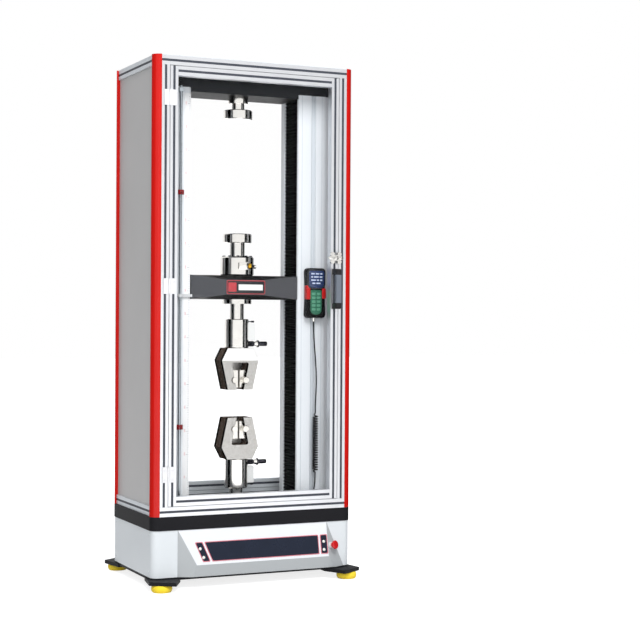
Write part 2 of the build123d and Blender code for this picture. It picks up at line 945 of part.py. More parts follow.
# Grip cylinder, bored on its right side for the lever spigot
def grip_cylinder(bottom, lever_level):
    top = bottom + grip_cylinder_length
    with BuildPart() as cylinder:
        with BuildSketch(turning_plane):
            add(
                turned_outline(
                    (0, bottom),
                    (grip_cylinder_radius - grip_cylinder_edge, bottom),
                    (grip_cylinder_radius, bottom + grip_cylinder_edge),
                    (grip_cylinder_radius, top - grip_cylinder_edge),
                    (grip_cylinder_radius - grip_cylinder_edge, top),
                    (0, top),
                )
            )
        revolve(axis=load_axis)
        with BuildSketch(Plane(origin=(grip_cylinder_radius, axis_y, lever_level), z_dir=(1, 0, 0))):
            Circle(lever_spigot_radius + running_clearance)
        extrude(amount=-lever_spigot_length - lever_gap, mode=Mode.SUBTRACT)
    return cylinder


upper_lever_level = upper_root + lever_rise
lower_lever_level = lower_root - lever_rise
upper_grip_cylinder = grip_cylinder(upper_root, upper_lever_level)
finish(upper_grip_cylinder, "upper_grip_cylinder")
lower_grip_cylinder = grip_cylinder(lower_stem_end, lower_lever_level)
finish(lower_grip_cylinder, "lower_grip_cylinder")


# Grip body: six-sided block with an open wedge pocket, drawn up from its mouth
def wedge_half(height):
    return pocket_mouth_half + height * tan(radians(wedge_angle))


def grip_body(plane):
    shoulder = grip_height - grip_shoulder_drop
    with BuildPart() as body:
        with BuildSketch(plane):
            Polygon(
                (-grip_mouth_half, 0),
                (grip_mouth_half, 0),
                (grip_shoulder_half, shoulder),
                (grip_root_half, grip_height),
                (-grip_root_half, grip_height),
                (-grip_shoulder_half, shoulder),
                align=None,
            )
        extrude(amount=-grip_depth)
        with BuildSketch(plane) as pocket:
            Polygon(
                (-pocket_mouth_half, 0),
                (pocket_mouth_half, 0),
                (wedge_half(pocket_height), pocket_height),
                (-wedge_half(pocket_height), pocket_height),
                align=None,
            )
            fillet(pocket.vertices().group_by(Axis.Y)[-1], pocket_corner)
        extrude(amount=pocket_back_wall - grip_depth, mode=Mode.SUBTRACT)
    return body


upper_grip_body = grip_body(upper_grip_plane)
finish(upper_grip_body, "upper_grip_body")
lower_grip_body = grip_body(lower_grip_plane)
finish(lower_grip_body, "lower_grip_body")


# Grip jaw: wedge sliding along the pocket wall, with a round button in front of the body
def grip_jaw(plane, side, inset):
    far = inset + jaw_height
    with BuildPart() as jaw:
        with BuildSketch(plane.offset(-jaw_face_setback)):
            Polygon(
                (side * jaw_gap / 2, inset),
                (side * (wedge_half(inset) - jaw_side_clearance), inset),
                (side * (wedge_half(far) - jaw_side_clearance), far),
                (side * jaw_gap / 2, far),
                align=None,
            )
        extrude(amount=pocket_back_wall + jaw_back_clearance + jaw_face_setback - grip_depth)
        with BuildSketch(plane.offset(-jaw_face_setback)):
            with Locations((side * jaw_stem_offset, inset + jaw_button_rise)):
                Circle(jaw_stem_radius)
        extrude(amount=jaw_face_setback + jaw_button_gap)
        with BuildSketch(plane.offset(jaw_button_gap)):
            with Locations((side * jaw_button_offset, inset + jaw_button_rise)):
                Circle(jaw_button_radius)
        extrude(amount=jaw_button_height)
    return jaw


upper_jaw_left = grip_jaw(upper_grip_plane, -1, upper_jaw_inset)
finish(upper_jaw_left, "upper_jaw_left")
upper_jaw_right = grip_jaw(upper_grip_plane, 1, upper_jaw_inset)
finish(upper_jaw_right, "upper_jaw_right")
lower_jaw_left = grip_jaw(lower_grip_plane, 1, lower_jaw_inset)
finish(lower_jaw_left, "lower_jaw_left")
lower_jaw_right = grip_jaw(lower_grip_plane, -1, lower_jaw_inset)
finish(lower_jaw_right, "lower_jaw_right")


# Grip block: valve block saddled on the right side of the grip cylinder
def grip_block(bottom):
    with BuildPart() as block:
        with BuildSketch(Plane.XY.offset(bottom)):
            with Locations((grip_cylinder_radius + block_width, axis_y)):
                Rectangle(block_width + block_saddle, block_depth, align=(Align.MAX, Align.CENTER))
            with Locations((0, axis_y)):
                Circle(grip_cylinder_radius, mode=Mode.SUBTRACT)
        extrude(amount=block_height)
    return block


upper_grip_block = grip_block(upper_root + block_rise)
finish(upper_grip_block, "upper_grip_block")
lower_grip_block = grip_block(lower_root - block_rise - block_height)
finish(lower_grip_block, "lower_grip_block")


# Grip lever: turned handle whose spigot runs in the grip cylinder
def grip_lever(level):
    collar_end = lever_collar_start + lever_collar_length
    with BuildPart() as lever:
        with BuildSketch(turning_plane):
            with Locations((grip_cylinder_radius, level)):
                Polygon(
                    (-lever_spigot_length, 0),
                    (lever_length, 0),
                    (lever_length, lever_grip_radius - lever_grip_edge),
                    (lever_length - lever_grip_edge, lever_grip_radius),
                    (lever_grip_start, lever_grip_radius),
                    (collar_end, lever_neck_radius),
                    (collar_end, lever_collar_radius),
                    (lever_collar_start, lever_collar_radius),
                    (lever_collar_start, lever_flare_radius),
                    (lever_boss_length, lever_boss_radius),
                    (lever_gap, lever_boss_radius),
                    (lever_gap, lever_spigot_radius),
                    (-lever_spigot_length, lever_spigot_radius),
                    align=None,
                )
        revolve(axis=Axis((0, axis_y, level), (1, 0, 0)))
    return lever


upper_grip_lever = grip_lever(upper_lever_level)
finish(upper_grip_lever, "upper_grip_lever")
lower_grip_lever = grip_lever(lower_lever_level)
finish(lower_grip_lever, "lower_grip_lever")

# Limit rod with its bracket on the left column, and the two travel stops
limit_point = (-limit_rod_x, limit_rod_y)
with BuildPart() as limit_rod:
    with BuildSketch(Plane.XY.offset(table_top)):
        with Locations(limit_point):
            Circle(limit_rod_radius)
    extrude(amount=column_top - table_top)
    with BuildSketch(Plane.XY.offset(column_top - limit_bracket_drop)):
        with Locations((-limit_rod_x, column_front)):
            bracket_reach = limit_rod_standoff + limit_bracket_width / 2
            Rectangle(limit_bracket_width, bracket_reach, align=(Align.CENTER, Align.MAX))
    extrude(amount=limit_bracket_height)
finish(limit_rod, "limit_rod")


def stop_collar(level):
    with BuildPart() as collar:
        with BuildSketch(Plane.XY.offset(level - stop_height / 2)):
            with Locations(limit_point):
                Circle(stop_radius)
        extrude(amount=stop_height)
        with BuildSketch(Plane(origin=(*limit_point, level), x_dir=(1, 0, 0), z_dir=(0, -1, 0))):
            Circle(stop_screw_radius)
        extrude(amount=stop_radius + stop_screw_length)
        with BuildSketch(Plane.XY.offset(level - stop_height / 2)):
            with Locations(limit_point):
                Circle(limit_rod_radius + running_clearance)
        extrude(amount=stop_height, mode=Mode.SUBTRACT)
    return collar


upper_stop_collar = stop_collar(upper_stop_height)
finish(upper_stop_collar, "upper_stop_collar")
lower_stop_collar = stop_collar(lower_stop_height)
finish(lower_stop_collar, "lower_stop_collar")

# Limit arm on the crosshead cover, its eye round the limit rod
arm_right = crosshead_end - limit_arm_inset
with BuildPart() as limit_arm:
    with BuildSketch(Plane.XY.offset(crosshead_bottom + limit_arm_rise)):
        with Locations((-arm_right, column_front)):
            Rectangle(limit_arm_foot, limit_arm_gap + limit_arm_depth, align=(Align.MIN, Align.MAX))
        with Locations((limit_arm_foot - arm_right, column_front - limit_arm_gap)):
            arm_length = limit_rod_x + limit_eye_radius + limit_arm_foot - arm_right
            Rectangle(arm_length, limit_arm_depth, align=(Align.MAX, Align.MAX))
        with Locations((-limit_rod_x, column_front - limit_arm_gap)):
            eye_reach = limit_rod_standoff - limit_arm_gap
            Rectangle(2 * limit_eye_radius, eye_reach, align=(Align.CENTER, Align.MAX))
        with Locations(limit_point):
            Circle(limit_eye_radius)
            Circle(limit_rod_radius + limit_eye_clearance, mode=Mode.SUBTRACT)
    extrude(amount=limit_arm_thickness)
finish(limit_arm, "limit_arm")

# Hand pendant on its holder at the right column
holder_front = column_front - holder_thickness
pendant_mid = pendant_bottom + pendant_height / 2
with BuildPart() as pendant_holder:
    with BuildSketch(Plane.XZ.offset(-column_front)):
        with Locations((pendant_x, pendant_mid)):
            Rectangle(holder_width, holder_height)
    extrude(amount=holder_thickness)
finish(pendant_holder, "pendant_holder")
with BuildPart() as pendant_body:
    with BuildSketch(Plane.XZ.offset(-holder_front)) as pendant_outline:
        with Locations((pendant_x, pendant_mid)):
            Polygon(
                (-pendant_width / 2, -pendant_height / 2),
                (pendant_width / 2, -pendant_height / 2),
                (pendant_waist / 2, 0),
                (pendant_width / 2, pendant_height / 2),
                (-pendant_width / 2, pendant_height / 2),
                (-pendant_waist / 2, 0),
                align=None,
            )
        outline_rows = pendant_outline.vertices().group_by(Axis.Y)
        fillet(outline_rows[0] + outline_rows[-1], pendant_corner)
        fillet(pendant_outline.vertices().sort_by_distance((pendant_x, pendant_mid))[:2], pendant_height)
    extrude(amount=pendant_thickness)
    fillet(pendant_body.faces().sort_by(Axis.Y)[0].edges(), pendant_edge)
finish(pendant_body, "pendant_body")

# Pendant lead: plain cord, coiled middle as one fat tube, and tail into the table socket
pendant_y = holder_front - pendant_thickness / 2
coil_x = pendant_x + coil_shift
coil_y = column_front - coil_standoff
socket_x = pendant_x - socket_shift
socket_y = column_front - socket_standoff
lead_route = (
    (pendant_x - coil_shift, pendant_y, pendant_bottom),
    (pendant_x - coil_shift, pendant_y, 1082),
    (pendant_x - 1, -173, 1017),
    (pendant_x + 4.5, -175, 945),
    (pendant_x + 8.5, -176, 872),
    (pendant_x + 7, -175, 805),
    (coil_x, coil_y, 762),
    (coil_x, coil_y, coil_top),
)
tail_route = (
    (coil_x, coil_y, coil_bottom),
    (coil_x, coil_y, 412),
    (pendant_x - 1, -175.5, 377),
    (socket_x, socket_y, 352),
    (socket_x, socket_y, table_top + socket_height),
)


def bend_radii(points):
    radii = []
    for first, corner, last in zip(points, points[1:], points[2:]):
        arrive = Vector(*corner) - Vector(*first)
        leave = Vector(*last) - Vector(*corner)
        half_turn = radians(arrive.get_angle(leave)) / 2
        radii.append(bend_share * min(arrive.length, leave.length) / tan(half_turn))
    return radii


lead_radii = bend_radii(lead_route)
tail_radii = bend_radii(tail_route)
print("lead bend radii", [round(radius) for radius in lead_radii])
print("tail bend radii", [round(radius) for radius in tail_radii])
with BuildPart() as cord_lead:
    with BuildLine() as lead_line:
        FilletPolyline(*lead_route, radius=lead_radii)
    with BuildSketch(Plane(origin=lead_line.line @ 0, z_dir=lead_line.line % 0)):
        Circle(cord_radius)
    sweep(path=lead_line.line)
    with BuildLine() as tail_line:
        FilletPolyline(*tail_route, radius=tail_radii)
    with BuildSketch(Plane(origin=tail_line.line @ 0, z_dir=tail_line.line % 0)):
        Circle(cord_radius)
    sweep(path=tail_line.line)
finish(cord_lead, "cord_lead")
with BuildPart() as cord_coil:
    with BuildSketch(Plane.XY.offset(coil_bottom)):
        with Locations((coil_x, coil_y)):
            Circle(coil_radius)
    extrude(amount=coil_top - coil_bottom)
finish(cord_coil, "cord_coil")
with BuildPart() as cord_socket:
    with BuildSketch(Plane.XY.offset(table_top)):
        with Locations((socket_x, socket_y)):
            Circle(socket_radius)
    extrude(amount=socket_height)
finish(cord_socket, "cord_socket")

# Door: slotted bars round a clear pane, bored for the latch spindle
latch_x = door_half - stile_width / 2
latch_plane = Plane(origin=(latch_x, front, latch_height), x_dir=(1, 0, 0), z_dir=(0, -1, 0))
door_rail_levels = (door_bottom + rail_height / 2, door_top - rail_height / 2)
with BuildPart() as door_frame:
    with BuildSketch(Plane.XY.offset(door_bottom)):
        with Locations((-latch_x, front_bar_y), (latch_x, front_bar_y)):
            add(stile_section)
    extrude(amount=door_top - door_bottom)
    with BuildSketch(*[rail_plane_x(bar_joint - pane_half, front_bar_y, z) for z in door_rail_levels]):
        add(rail_section)
    extrude(amount=2 * (pane_half - bar_joint))
    with BuildSketch(latch_plane):
        Circle(latch_spindle_radius + running_clearance)
    extrude(amount=-bar_depth, mode=Mode.SUBTRACT)
finish(door_frame, "door_frame")
with BuildPart() as door_pane:
    with BuildSketch(Plane.XY.offset(pane_bottom)):
        with Locations((0, front + pane_setback + pane_thickness / 2)):
            Rectangle(2 * pane_half, pane_thickness)
    extrude(amount=pane_top - pane_bottom)
finish(door_pane, "door_pane")

# Door handle: bow handle on the right stile
finger_depth = handle_reach - handle_bar_depth
handle_plane = Plane(
    origin=(latch_x + handle_width / 2, front, handle_bottom), x_dir=(0, -1, 0), z_dir=(-1, 0, 0)
)
with BuildPart() as door_handle:
    with BuildSketch(handle_plane) as handle_outline:
        Rectangle(handle_reach, handle_length, align=(Align.MIN, Align.MIN))
        fillet(handle_outline.vertices().group_by(Axis.X)[-1], handle_outer_corner)
        with Locations((0, handle_post)):
            Rectangle(
                finger_depth,
                handle_length - 2 * handle_post,
                align=(Align.MIN, Align.MIN),
                mode=Mode.SUBTRACT,
            )
        finger_corners = handle_outline.vertices().sort_by_distance((finger_depth, handle_length / 2))[:2]
        fillet(finger_corners, handle_inner_corner)
    extrude(amount=handle_width)
finish(door_handle, "door_handle")

# Latch: four-lobed knob in front of the stile, spindle through it and a tongue behind it
tongue_front = bar_depth + latch_gap
with BuildPart() as latch_knob:
    with BuildSketch(latch_plane.offset(latch_gap)):
        Circle(latch_hub_radius)
    extrude(amount=latch_standoff + latch_thickness - latch_gap)
    with BuildSketch(latch_plane.offset(latch_standoff)):
        with PolarLocations(latch_lobe_circle, 4, start_angle=45):
            Circle(latch_lobe_radius)
        with Locations((0, 0)):
            Rectangle(2 * latch_lobe_circle, latch_lobe_radius, rotation=45)
            Rectangle(2 * latch_lobe_circle, latch_lobe_radius, rotation=-45)
    extrude(amount=latch_thickness)
    with BuildSketch(latch_plane.offset(-tongue_front)):
        Circle(latch_spindle_radius)
    extrude(amount=tongue_front + latch_standoff)
    with BuildSketch(latch_plane.offset(-tongue_front)):
        with Locations((0, -latch_tongue_height / 2)):
            Rectangle(
                latch_tongue_height,
                latch_tongue_length + latch_tongue_height / 2,
                align=(Align.CENTER, Align.MIN),
            )
    extrude(amount=-latch_tongue_thickness)
finish(latch_knob, "latch_knob")

# Hinges: the frame leaves carry the middle knuckles and pins, the door leaves the end knuckles
hinge_x = -(stile_inner_x + door_half) / 2
hinge_y = front - knuckle_radius - hinge_standoff
leaf_inner = knuckle_radius + knuckle_gap
leaf_reach = hinge_leaf_width - leaf_inner
bridge_depth = hinge_leaf_thickness - hinge_standoff
knuckle_length = hinge_length / 3
hinge_feet = [z - hinge_length / 2 for z in hinge_heights]
with BuildPart() as hinge_frame_leaves:
    with BuildSketch(*[Plane.XY.offset(z) for z in hinge_feet]):
        with Locations((hinge_x - leaf_inner, front)):
            Rectangle(leaf_reach, hinge_leaf_thickness, align=(Align.MAX, Align.MAX))
    extrude(amount=hinge_length)
    with BuildSketch(*[Plane.XY.offset(z + knuckle_length) for z in hinge_feet]):
        with Locations((hinge_x, front - hinge_standoff)):
            Rectangle(leaf_inner + knuckle_gap, bridge_depth, align=(Align.MAX, Align.MAX))
        with Locations((hinge_x, hinge_y)):
            Circle(knuckle_radius)
    extrude(amount=knuckle_length)
    with BuildSketch(*[Plane.XY.offset(z) for z in hinge_feet]):
        with Locations((hinge_x, hinge_y)):
            Circle(pin_radius)
    extrude(amount=hinge_length)
finish(hinge_frame_leaves, "hinge_frame_leaves")
end_knuckle_feet = hinge_feet + [z + 2 * knuckle_length + knuckle_gap for z in hinge_feet]
with BuildPart() as hinge_door_leaves:
    with BuildSketch(*[Plane.XY.offset(z) for z in hinge_feet]):
        with Locations((hinge_x + leaf_inner, front)):
            Rectangle(leaf_reach, hinge_leaf_thickness, align=(Align.MIN, Align.MAX))
    extrude(amount=hinge_length)
    with BuildSketch(*[Plane.XY.offset(z) for z in end_knuckle_feet]):
        with Locations((hinge_x, front - hinge_standoff)):
            Rectangle(leaf_inner + knuckle_gap, bridge_depth, align=(Align.MIN, Align.MAX))
        with Locations((hinge_x, hinge_y)):
            Circle(knuckle_radius)
            Circle(pin_radius + running_clearance, mode=Mode.SUBTRACT)
    extrude(amount=knuckle_length - knuckle_gap)
finish(hinge_door_leaves, "hinge_door_leaves")
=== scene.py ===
import json
import math

import bmesh
import bpy
from mathutils import Matrix, Vector


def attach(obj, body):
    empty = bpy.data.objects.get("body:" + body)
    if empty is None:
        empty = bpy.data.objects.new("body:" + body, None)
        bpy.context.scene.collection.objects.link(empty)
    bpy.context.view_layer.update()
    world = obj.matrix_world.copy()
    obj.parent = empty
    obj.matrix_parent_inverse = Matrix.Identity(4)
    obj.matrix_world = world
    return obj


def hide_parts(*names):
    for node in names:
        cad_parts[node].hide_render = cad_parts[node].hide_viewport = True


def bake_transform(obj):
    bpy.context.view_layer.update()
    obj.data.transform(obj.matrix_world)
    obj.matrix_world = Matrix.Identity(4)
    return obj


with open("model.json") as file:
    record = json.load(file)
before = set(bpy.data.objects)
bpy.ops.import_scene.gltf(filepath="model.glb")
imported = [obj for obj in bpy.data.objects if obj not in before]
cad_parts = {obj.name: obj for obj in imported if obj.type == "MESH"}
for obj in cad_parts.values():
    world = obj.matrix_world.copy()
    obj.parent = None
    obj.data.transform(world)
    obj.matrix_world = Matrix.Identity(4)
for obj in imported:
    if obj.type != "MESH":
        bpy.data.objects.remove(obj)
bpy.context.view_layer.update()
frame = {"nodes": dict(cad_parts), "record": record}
cadNodes = frame["nodes"]
bpy.ops.object.select_all(action="DESELECT")
print("frame loaded:", len(cadNodes), "nodes")

# camera at the photograph's place
photoCamera = {
    "place": (-2.4935, -6.2214, 1.1574),
    "turn": 25.184,  # degrees right of +Y
    "pitch": -0.252,
    "roll": 0.345,
    "lens": 84.8,
}


def placeCamera(spec):
    bpy.ops.object.camera_add(location=spec["place"])
    camera = bpy.context.object
    camera.name = "photoCamera"
    turn, pitch, roll = (math.radians(spec[key]) for key in ("turn", "pitch", "roll"))
    ahead = Vector((math.sin(turn) * math.cos(pitch), math.cos(turn) * math.cos(pitch), math.sin(pitch)))
    level = Vector((math.cos(turn), -math.sin(turn), 0))
    right = level * math.cos(roll) + level.cross(ahead) * math.sin(roll)
    camera.rotation_euler = Matrix((right, right.cross(ahead), -ahead)).transposed().to_euler()
    camera.data.lens = spec["lens"]
    camera.data.sensor_width = 36
    camera.data.clip_end = 100
    bpy.context.scene.camera = camera


placeCamera(photoCamera)


# materials
def hexColour(text):
    parts = [int(text[i : i + 2], 16) / 255 for i in (1, 3, 5)]
    return (*[p / 12.92 if p <= 0.04045 else ((p + 0.055) / 1.055) ** 2.4 for p in parts], 1)


# A node given as a value is linked by its first live output, and a hex text becomes a colour
def fillSockets(tree, node, values):
    for key, value in values.items():
        if isinstance(value, bpy.types.Node):
            value = next(socket for socket in value.outputs if socket.enabled)
        if isinstance(value, bpy.types.NodeSocket):
            tree.links.new(value, node.inputs[key])
        else:
            node.inputs[key].default_value = hexColour(value) if isinstance(value, str) else value


def addNode(tree, kind, values, **settings):
    node = tree.nodes.new("ShaderNode" + kind)
    for key, value in settings.items():
        setattr(node, key, value)
    fillSockets(tree, node, values)
    return node


def startFinish(name, values):
    material = bpy.data.materials.new(name)
    material.use_nodes = True
    tree = material.node_tree
    shader = tree.nodes["Principled BSDF"]
    fillSockets(tree, shader, values)
    place = addNode(tree, "TexCoord", {}).outputs["Object"]
    return material, tree, shader, place


# Gloss is a pattern with its least and most roughness, relief a pattern with its strength and depth,
# and edgeMm the radius that sharp edges look worn to
def endFinish(tree, shader, tint, gloss, relief, edgeMm=None):
    pattern, least, most = gloss
    rough = addNode(tree, "MapRange", {"Value": pattern, "To Min": least, "To Max": most})
    pattern, strength, depth = relief
    bump = addNode(tree, "Bump", {"Height": pattern, "Strength": strength, "Distance": depth})
    if edgeMm:
        edge = addNode(tree, "Bevel", {"Radius": edgeMm / 1000}, samples=4)
        fillSockets(tree, bump, {"Normal": edge})
    fillSockets(tree, shader, {"Base Color": tint, "Roughness": rough, "Normal": bump})


# Sprayed and baked paint: soft clouds of tone, a fine orange peel and eased edges. Facets beside
# the face that looks along facing may have a darker tone of their own: painted shade
def powderCoat(name, tone, deep, rough, peelMm=2.4, peel=0.12, shine=0.5, paintedShadeTone=None, facing=None):
    material, tree, shader, place = startFinish(name, {"Specular IOR Level": shine})
    cloudMm, edgeMm = 240, 1.2
    cloud = addNode(tree, "TexNoise", {"Vector": place, "Scale": 1000 / cloudMm, "Detail": 4.0})
    grain = addNode(tree, "TexNoise", {"Vector": place, "Scale": 1000 / peelMm, "Detail": 2.0})
    tint = addNode(tree, "Mix", {0: cloud, 6: tone, 7: deep}, data_type="RGBA")
    # painted shade: faces that don't look along facing take the darker tone
    if paintedShadeTone:
        normal = addNode(tree, "TexCoord", {}).outputs["Normal"]
        turn = addNode(tree, "VectorMath", {0: normal, 1: facing}, operation="DOT_PRODUCT")
        face = addNode(tree, "MapRange", {"Value": turn, "From Min": 0.955, "From Max": 0.985})
        tint = addNode(tree, "Mix", {0: face, 6: paintedShadeTone, 7: tint}, data_type="RGBA")
    gloss = (grain, rough - 0.08, rough + 0.08)
    endFinish(tree, shader, tint, gloss, (grain, peel, 0.0006), edgeMm)
    return material


# Moulded plastic or rubber: one colour through, spark texture from the mould, dull where it is handled.
# The real texture is about 0.3 mm and is drawn coarser so that it shows. A sleeve is a second colour
# over one stretch of an axis
def moulded(name, tone, deep, rough, sparkMm=1.6, peel=0.2, shine=0.5, sleeve=None):
    material, tree, shader, place = startFinish(name, {"IOR": 1.5, "Specular IOR Level": shine})
    handledMm = 60
    spark = addNode(tree, "TexVoronoi", {"Vector": place, "Scale": 1000 / sparkMm})
    cloud = addNode(tree, "TexNoise", {"Vector": place, "Scale": 1000 / handledMm, "Detail": 3.0})
    tint = addNode(tree, "Mix", {0: cloud, 6: tone, 7: deep}, data_type="RGBA")
    if sleeve:
        sleeveTone, axis, middle, reach = sleeve
        along = addNode(tree, "SeparateXYZ", {"Vector": place}).outputs[axis]
        stretch = {0: along, 1: middle / 1000, 2: reach / 1000}
        inside = addNode(tree, "Math", stretch, operation="COMPARE")
        tint = addNode(tree, "Mix", {0: inside, 6: tint, 7: sleeveTone}, data_type="RGBA")
    endFinish(tree, shader, tint, (cloud, rough - 0.07, rough + 0.1), (spark, peel, 0.0005))
    return material


# Bare machined metal: tool marks drawn out along one way, with faint stains between them. Real marks
# are about 0.2 mm apart and are drawn coarser so that they show
def machined(name, tone, deep, rough, lineMm, runMm, along, peel=0.08, metallic=1.0, edgeMm=0.8):
    material, tree, shader, place = startFinish(name, {"Metallic": metallic})
    stainMm = 45
    stretch = [1000 / (runMm if axis in along else lineMm) for axis in "XYZ"]
    lines = addNode(tree, "Mapping", {"Vector": place, "Scale": stretch})
    marks = addNode(tree, "TexNoise", {"Vector": lines, "Scale": 1.0, "Detail": 3.0})
    stain = addNode(tree, "TexNoise", {"Vector": place, "Scale": 1000 / stainMm, "Detail": 4.0})
    tint = addNode(tree, "Mix", {0: stain, 6: tone, 7: deep}, data_type="RGBA")
    endFinish(tree, shader, tint, (marks, rough * 0.6, rough * 1.4), (marks, peel, 0.0003), edgeMm)
    return material


# Clear acrylic sheet: seen straight through, with a faint mirror that grows at a grazing view
def clearSheet(name, tone, mirror):
    material, tree, shader, place = startFinish(name, {"Base Color": tone, "Metallic": 1.0})
    smearMm = 350
    smear = addNode(tree, "TexNoise", {"Vector": place, "Scale": 1000 / smearMm, "Detail": 3.0})
    gloss = addNode(tree, "MapRange", {"Value": smear, "To Min": 0.0, "To Max": 0.06})
    fillSockets(tree, shader, {"Roughness": gloss})
    bounce = addNode(tree, "Fresnel", {"IOR": 1.49})
    share = addNode(tree, "Math", {0: bounce, 1: mirror}, operation="MULTIPLY")
    through = addNode(tree, "BsdfTransparent", {})
    both = addNode(tree, "MixShader", {0: share, 1: through, 2: shader})
    fillSockets(tree, tree.nodes["Material Output"], {"Surface": both})
    return material


# Coated bellows cloth: near black, a plain weave of 1.2 mm threads drawn at 3 mm so that it shows
def coatedCloth(name, tone, deep):
    material, tree, shader, place = startFinish(name, {"Specular IOR Level": 0.01})
    threadMm, dustMm = 3.0, 80
    threads = {"Vector": place, "Scale": 314 / threadMm, "Distortion": 0.4}
    weft, warp = (addNode(tree, "TexWave", threads, bands_direction=way).outputs[1] for way in "YZ")
    weave = addNode(tree, "Math", {0: weft, 1: warp}, operation="MULTIPLY")
    dust = addNode(tree, "TexNoise", {"Vector": place, "Scale": 1000 / dustMm, "Detail": 3.0})
    tint = addNode(tree, "Mix", {0: dust, 6: tone, 7: deep}, data_type="RGBA")
    endFinish(tree, shader, tint, (dust, 0.6, 0.8), (weave, 0.25, 0.0004))
    return material


# Grip steel: front and back ground to a speckled satin, painted near white past one height as a painted
# highlight, and flanks painted brown-black as painted shade, darker still at their edges. The grit is drawn
# at 4 mm so that it shows
def groundAndBlacked(name, tone, deep, flank, edgeTone, paintedHighlight, paintedHighlightFrom):
    material, tree, shader, place = startFinish(name, {"Specular IOR Level": 0.0})
    speckMm, edgeMm = 4, 1.4
    # the flank's painted shade: brown in this band across the grip, near black outside it
    bandMiddle, bandHalf = -56, 26  # the flank's brown band, across the grip
    normal = addNode(tree, "TexCoord", {}).outputs["Normal"]
    lean = addNode(tree, "SeparateXYZ", {"Vector": normal}).outputs[1]
    spot = addNode(tree, "SeparateXYZ", {"Vector": place})
    facing = addNode(tree, "Math", {0: lean}, operation="ABSOLUTE")
    ground = addNode(tree, "MapRange", {"Value": facing, "From Min": 0.55, "From Max": 0.75})
    speck = addNode(tree, "TexNoise", {"Vector": place, "Scale": 1000 / speckMm, "Detail": 5.0})
    grit = addNode(tree, "MapRange", {"Value": speck, "From Min": 0.35, "From Max": 0.65})
    # painted highlight: near white above one height
    above = {0: spot.outputs[2], 1: paintedHighlightFrom / 1000}
    high = addNode(tree, "Math", above, operation="GREATER_THAN")
    band = {0: spot.outputs[1], 1: bandMiddle / 1000, 2: bandHalf / 1000}
    middle = addNode(tree, "Math", band, operation="COMPARE")
    satin = addNode(tree, "Mix", {0: grit, 6: tone, 7: deep}, data_type="RGBA")
    face = addNode(tree, "Mix", {0: high, 6: satin, 7: paintedHighlight}, data_type="RGBA")
    side = addNode(tree, "Mix", {0: middle, 6: edgeTone, 7: flank}, data_type="RGBA")
    tint = addNode(tree, "Mix", {0: ground, 6: side, 7: face}, data_type="RGBA")
    fillSockets(tree, shader, {"Metallic": ground})
    endFinish(tree, shader, tint, (grit, 0.3, 0.48), (speck, 0.15, 0.0003), edgeMm)
    return material


finishes = {
    # foot pads: chalky yellow that stays dull under the lamp
    "yellow_rubber": moulded("yellowRubber", "#fde143", "#f7d62f", 0.55, sparkMm=2.5, shine=0.3),
    # baked black on sheet and castings: soft charcoal with no mirror
    "black_paint": powderCoat("blackPowderCoat", "#222225", "#1a1a1d", 0.55, shine=0.1),
    # cabinet skirt: cool light grey, eggshell gloss
    "grey_paint": powderCoat("lightGreyPowderCoat", "#dfe4e7", "#d8dde0", 0.42, shine=0.35),
    # corner posts: full red with a long wet highlight
    "red_paint": powderCoat("redGlossPaint", "#cb1811", "#bd130d", 0.22, peelMm=4, peel=0.05, shine=0.3),
    # column covers: near white and smooth
    "column_paint": powderCoat("paleGreyEnamel", "#e3e7eb", "#dce1e5", 0.3, peelMm=4, peel=0.05),
    # rim of the console films: red painted pale pink as painted glare
    "panel_film": moulded("rimRedFilm", "#d67f8b", "#cb727e", 0.35, sparkMm=3, peel=0.05),
    # mouldings: black with a fine grain
    "black_plastic": moulded("blackAbs", "#151517", "#0f0f11", 0.45, shine=0.3),
    # push button: clean red with a small bright highlight
    "red_plastic": moulded("redPolycarbonate", "#cf2023", "#bf181b", 0.2, peel=0.03),
    # small castings: pale and silvery, a little shiny
    "white_plastic": powderCoat("paleSilverPaint", "#e9eae9", "#dfe1e0", 0.35),
    # slotted bars: white metal that blurs what it mirrors
    "extrusion": machined(
        "anodisedAluminium", "#f4f5f8", "#ebedf1", 0.45, 3, 40, "", peel=0.04, edgeMm=1.0
    ),
    # panes: nothing but a faint glare
    "clear_acrylic": clearSheet("clearAcrylic", "#f4fafa", 0.06),
    # platens and stems: bright, with dark bands round the turning
    "polished_steel": machined("turnedChrome", "#f9f7f3", "#ebe8e3", 0.13, 1.6, 400, "XY"),
    # ground parts: grey satin with lines across
    "satin_steel": machined("groundSteel", "#d6d4d0", "#c4c2be", 0.32, 2.2, 30, "X", peel=0.1),
    # blackened parts: dark blue-grey with an oily sheen
    "dark_steel": machined("blackenedSteel", "#4a4a52", "#35353b", 0.34, 1.6, 40, "X", peel=0.06),
    # bellows: black that swallows light, so the ridges alone show
    "bellows_cloth": coatedCloth("bellowsCloth", "#09090a", "#050506"),
    # lead: black with a soft line of light on each curl
    "cord_rubber": moulded("cableRubber", "#161618", "#0f0f11", 0.42, sparkMm=2.0, peel=0.1, shine=0.3),
    # travel stops: dark red, half gloss
    "stop_red": powderCoat("darkRedEnamel", "#8e1f24", "#7c181d", 0.3),
    # hinges: white, half gloss
    "hinge_white": powderCoat("whiteEnamel", "#e9e9eb", "#e2e2e4", 0.32, peelMm=3),
    # latch: bright and uneven, as a casting's skin is
    "cast_zinc": machined("castZinc", "#f2f1ed", "#cfcdc8", 0.2, 4, 6, "", peel=0.3),
    # motor: dark grey, half gloss
    "motor_paint": powderCoat("motorEnamel", "#2c2d30", "#232427", 0.4),
}
# satin, its speck, the flank's painted shade in its middle and at its edges, the painted highlight
gripTones = ("#cfcdca", "#b4b2ae", "#5a4d45", "#171413", "#fbfbfa")
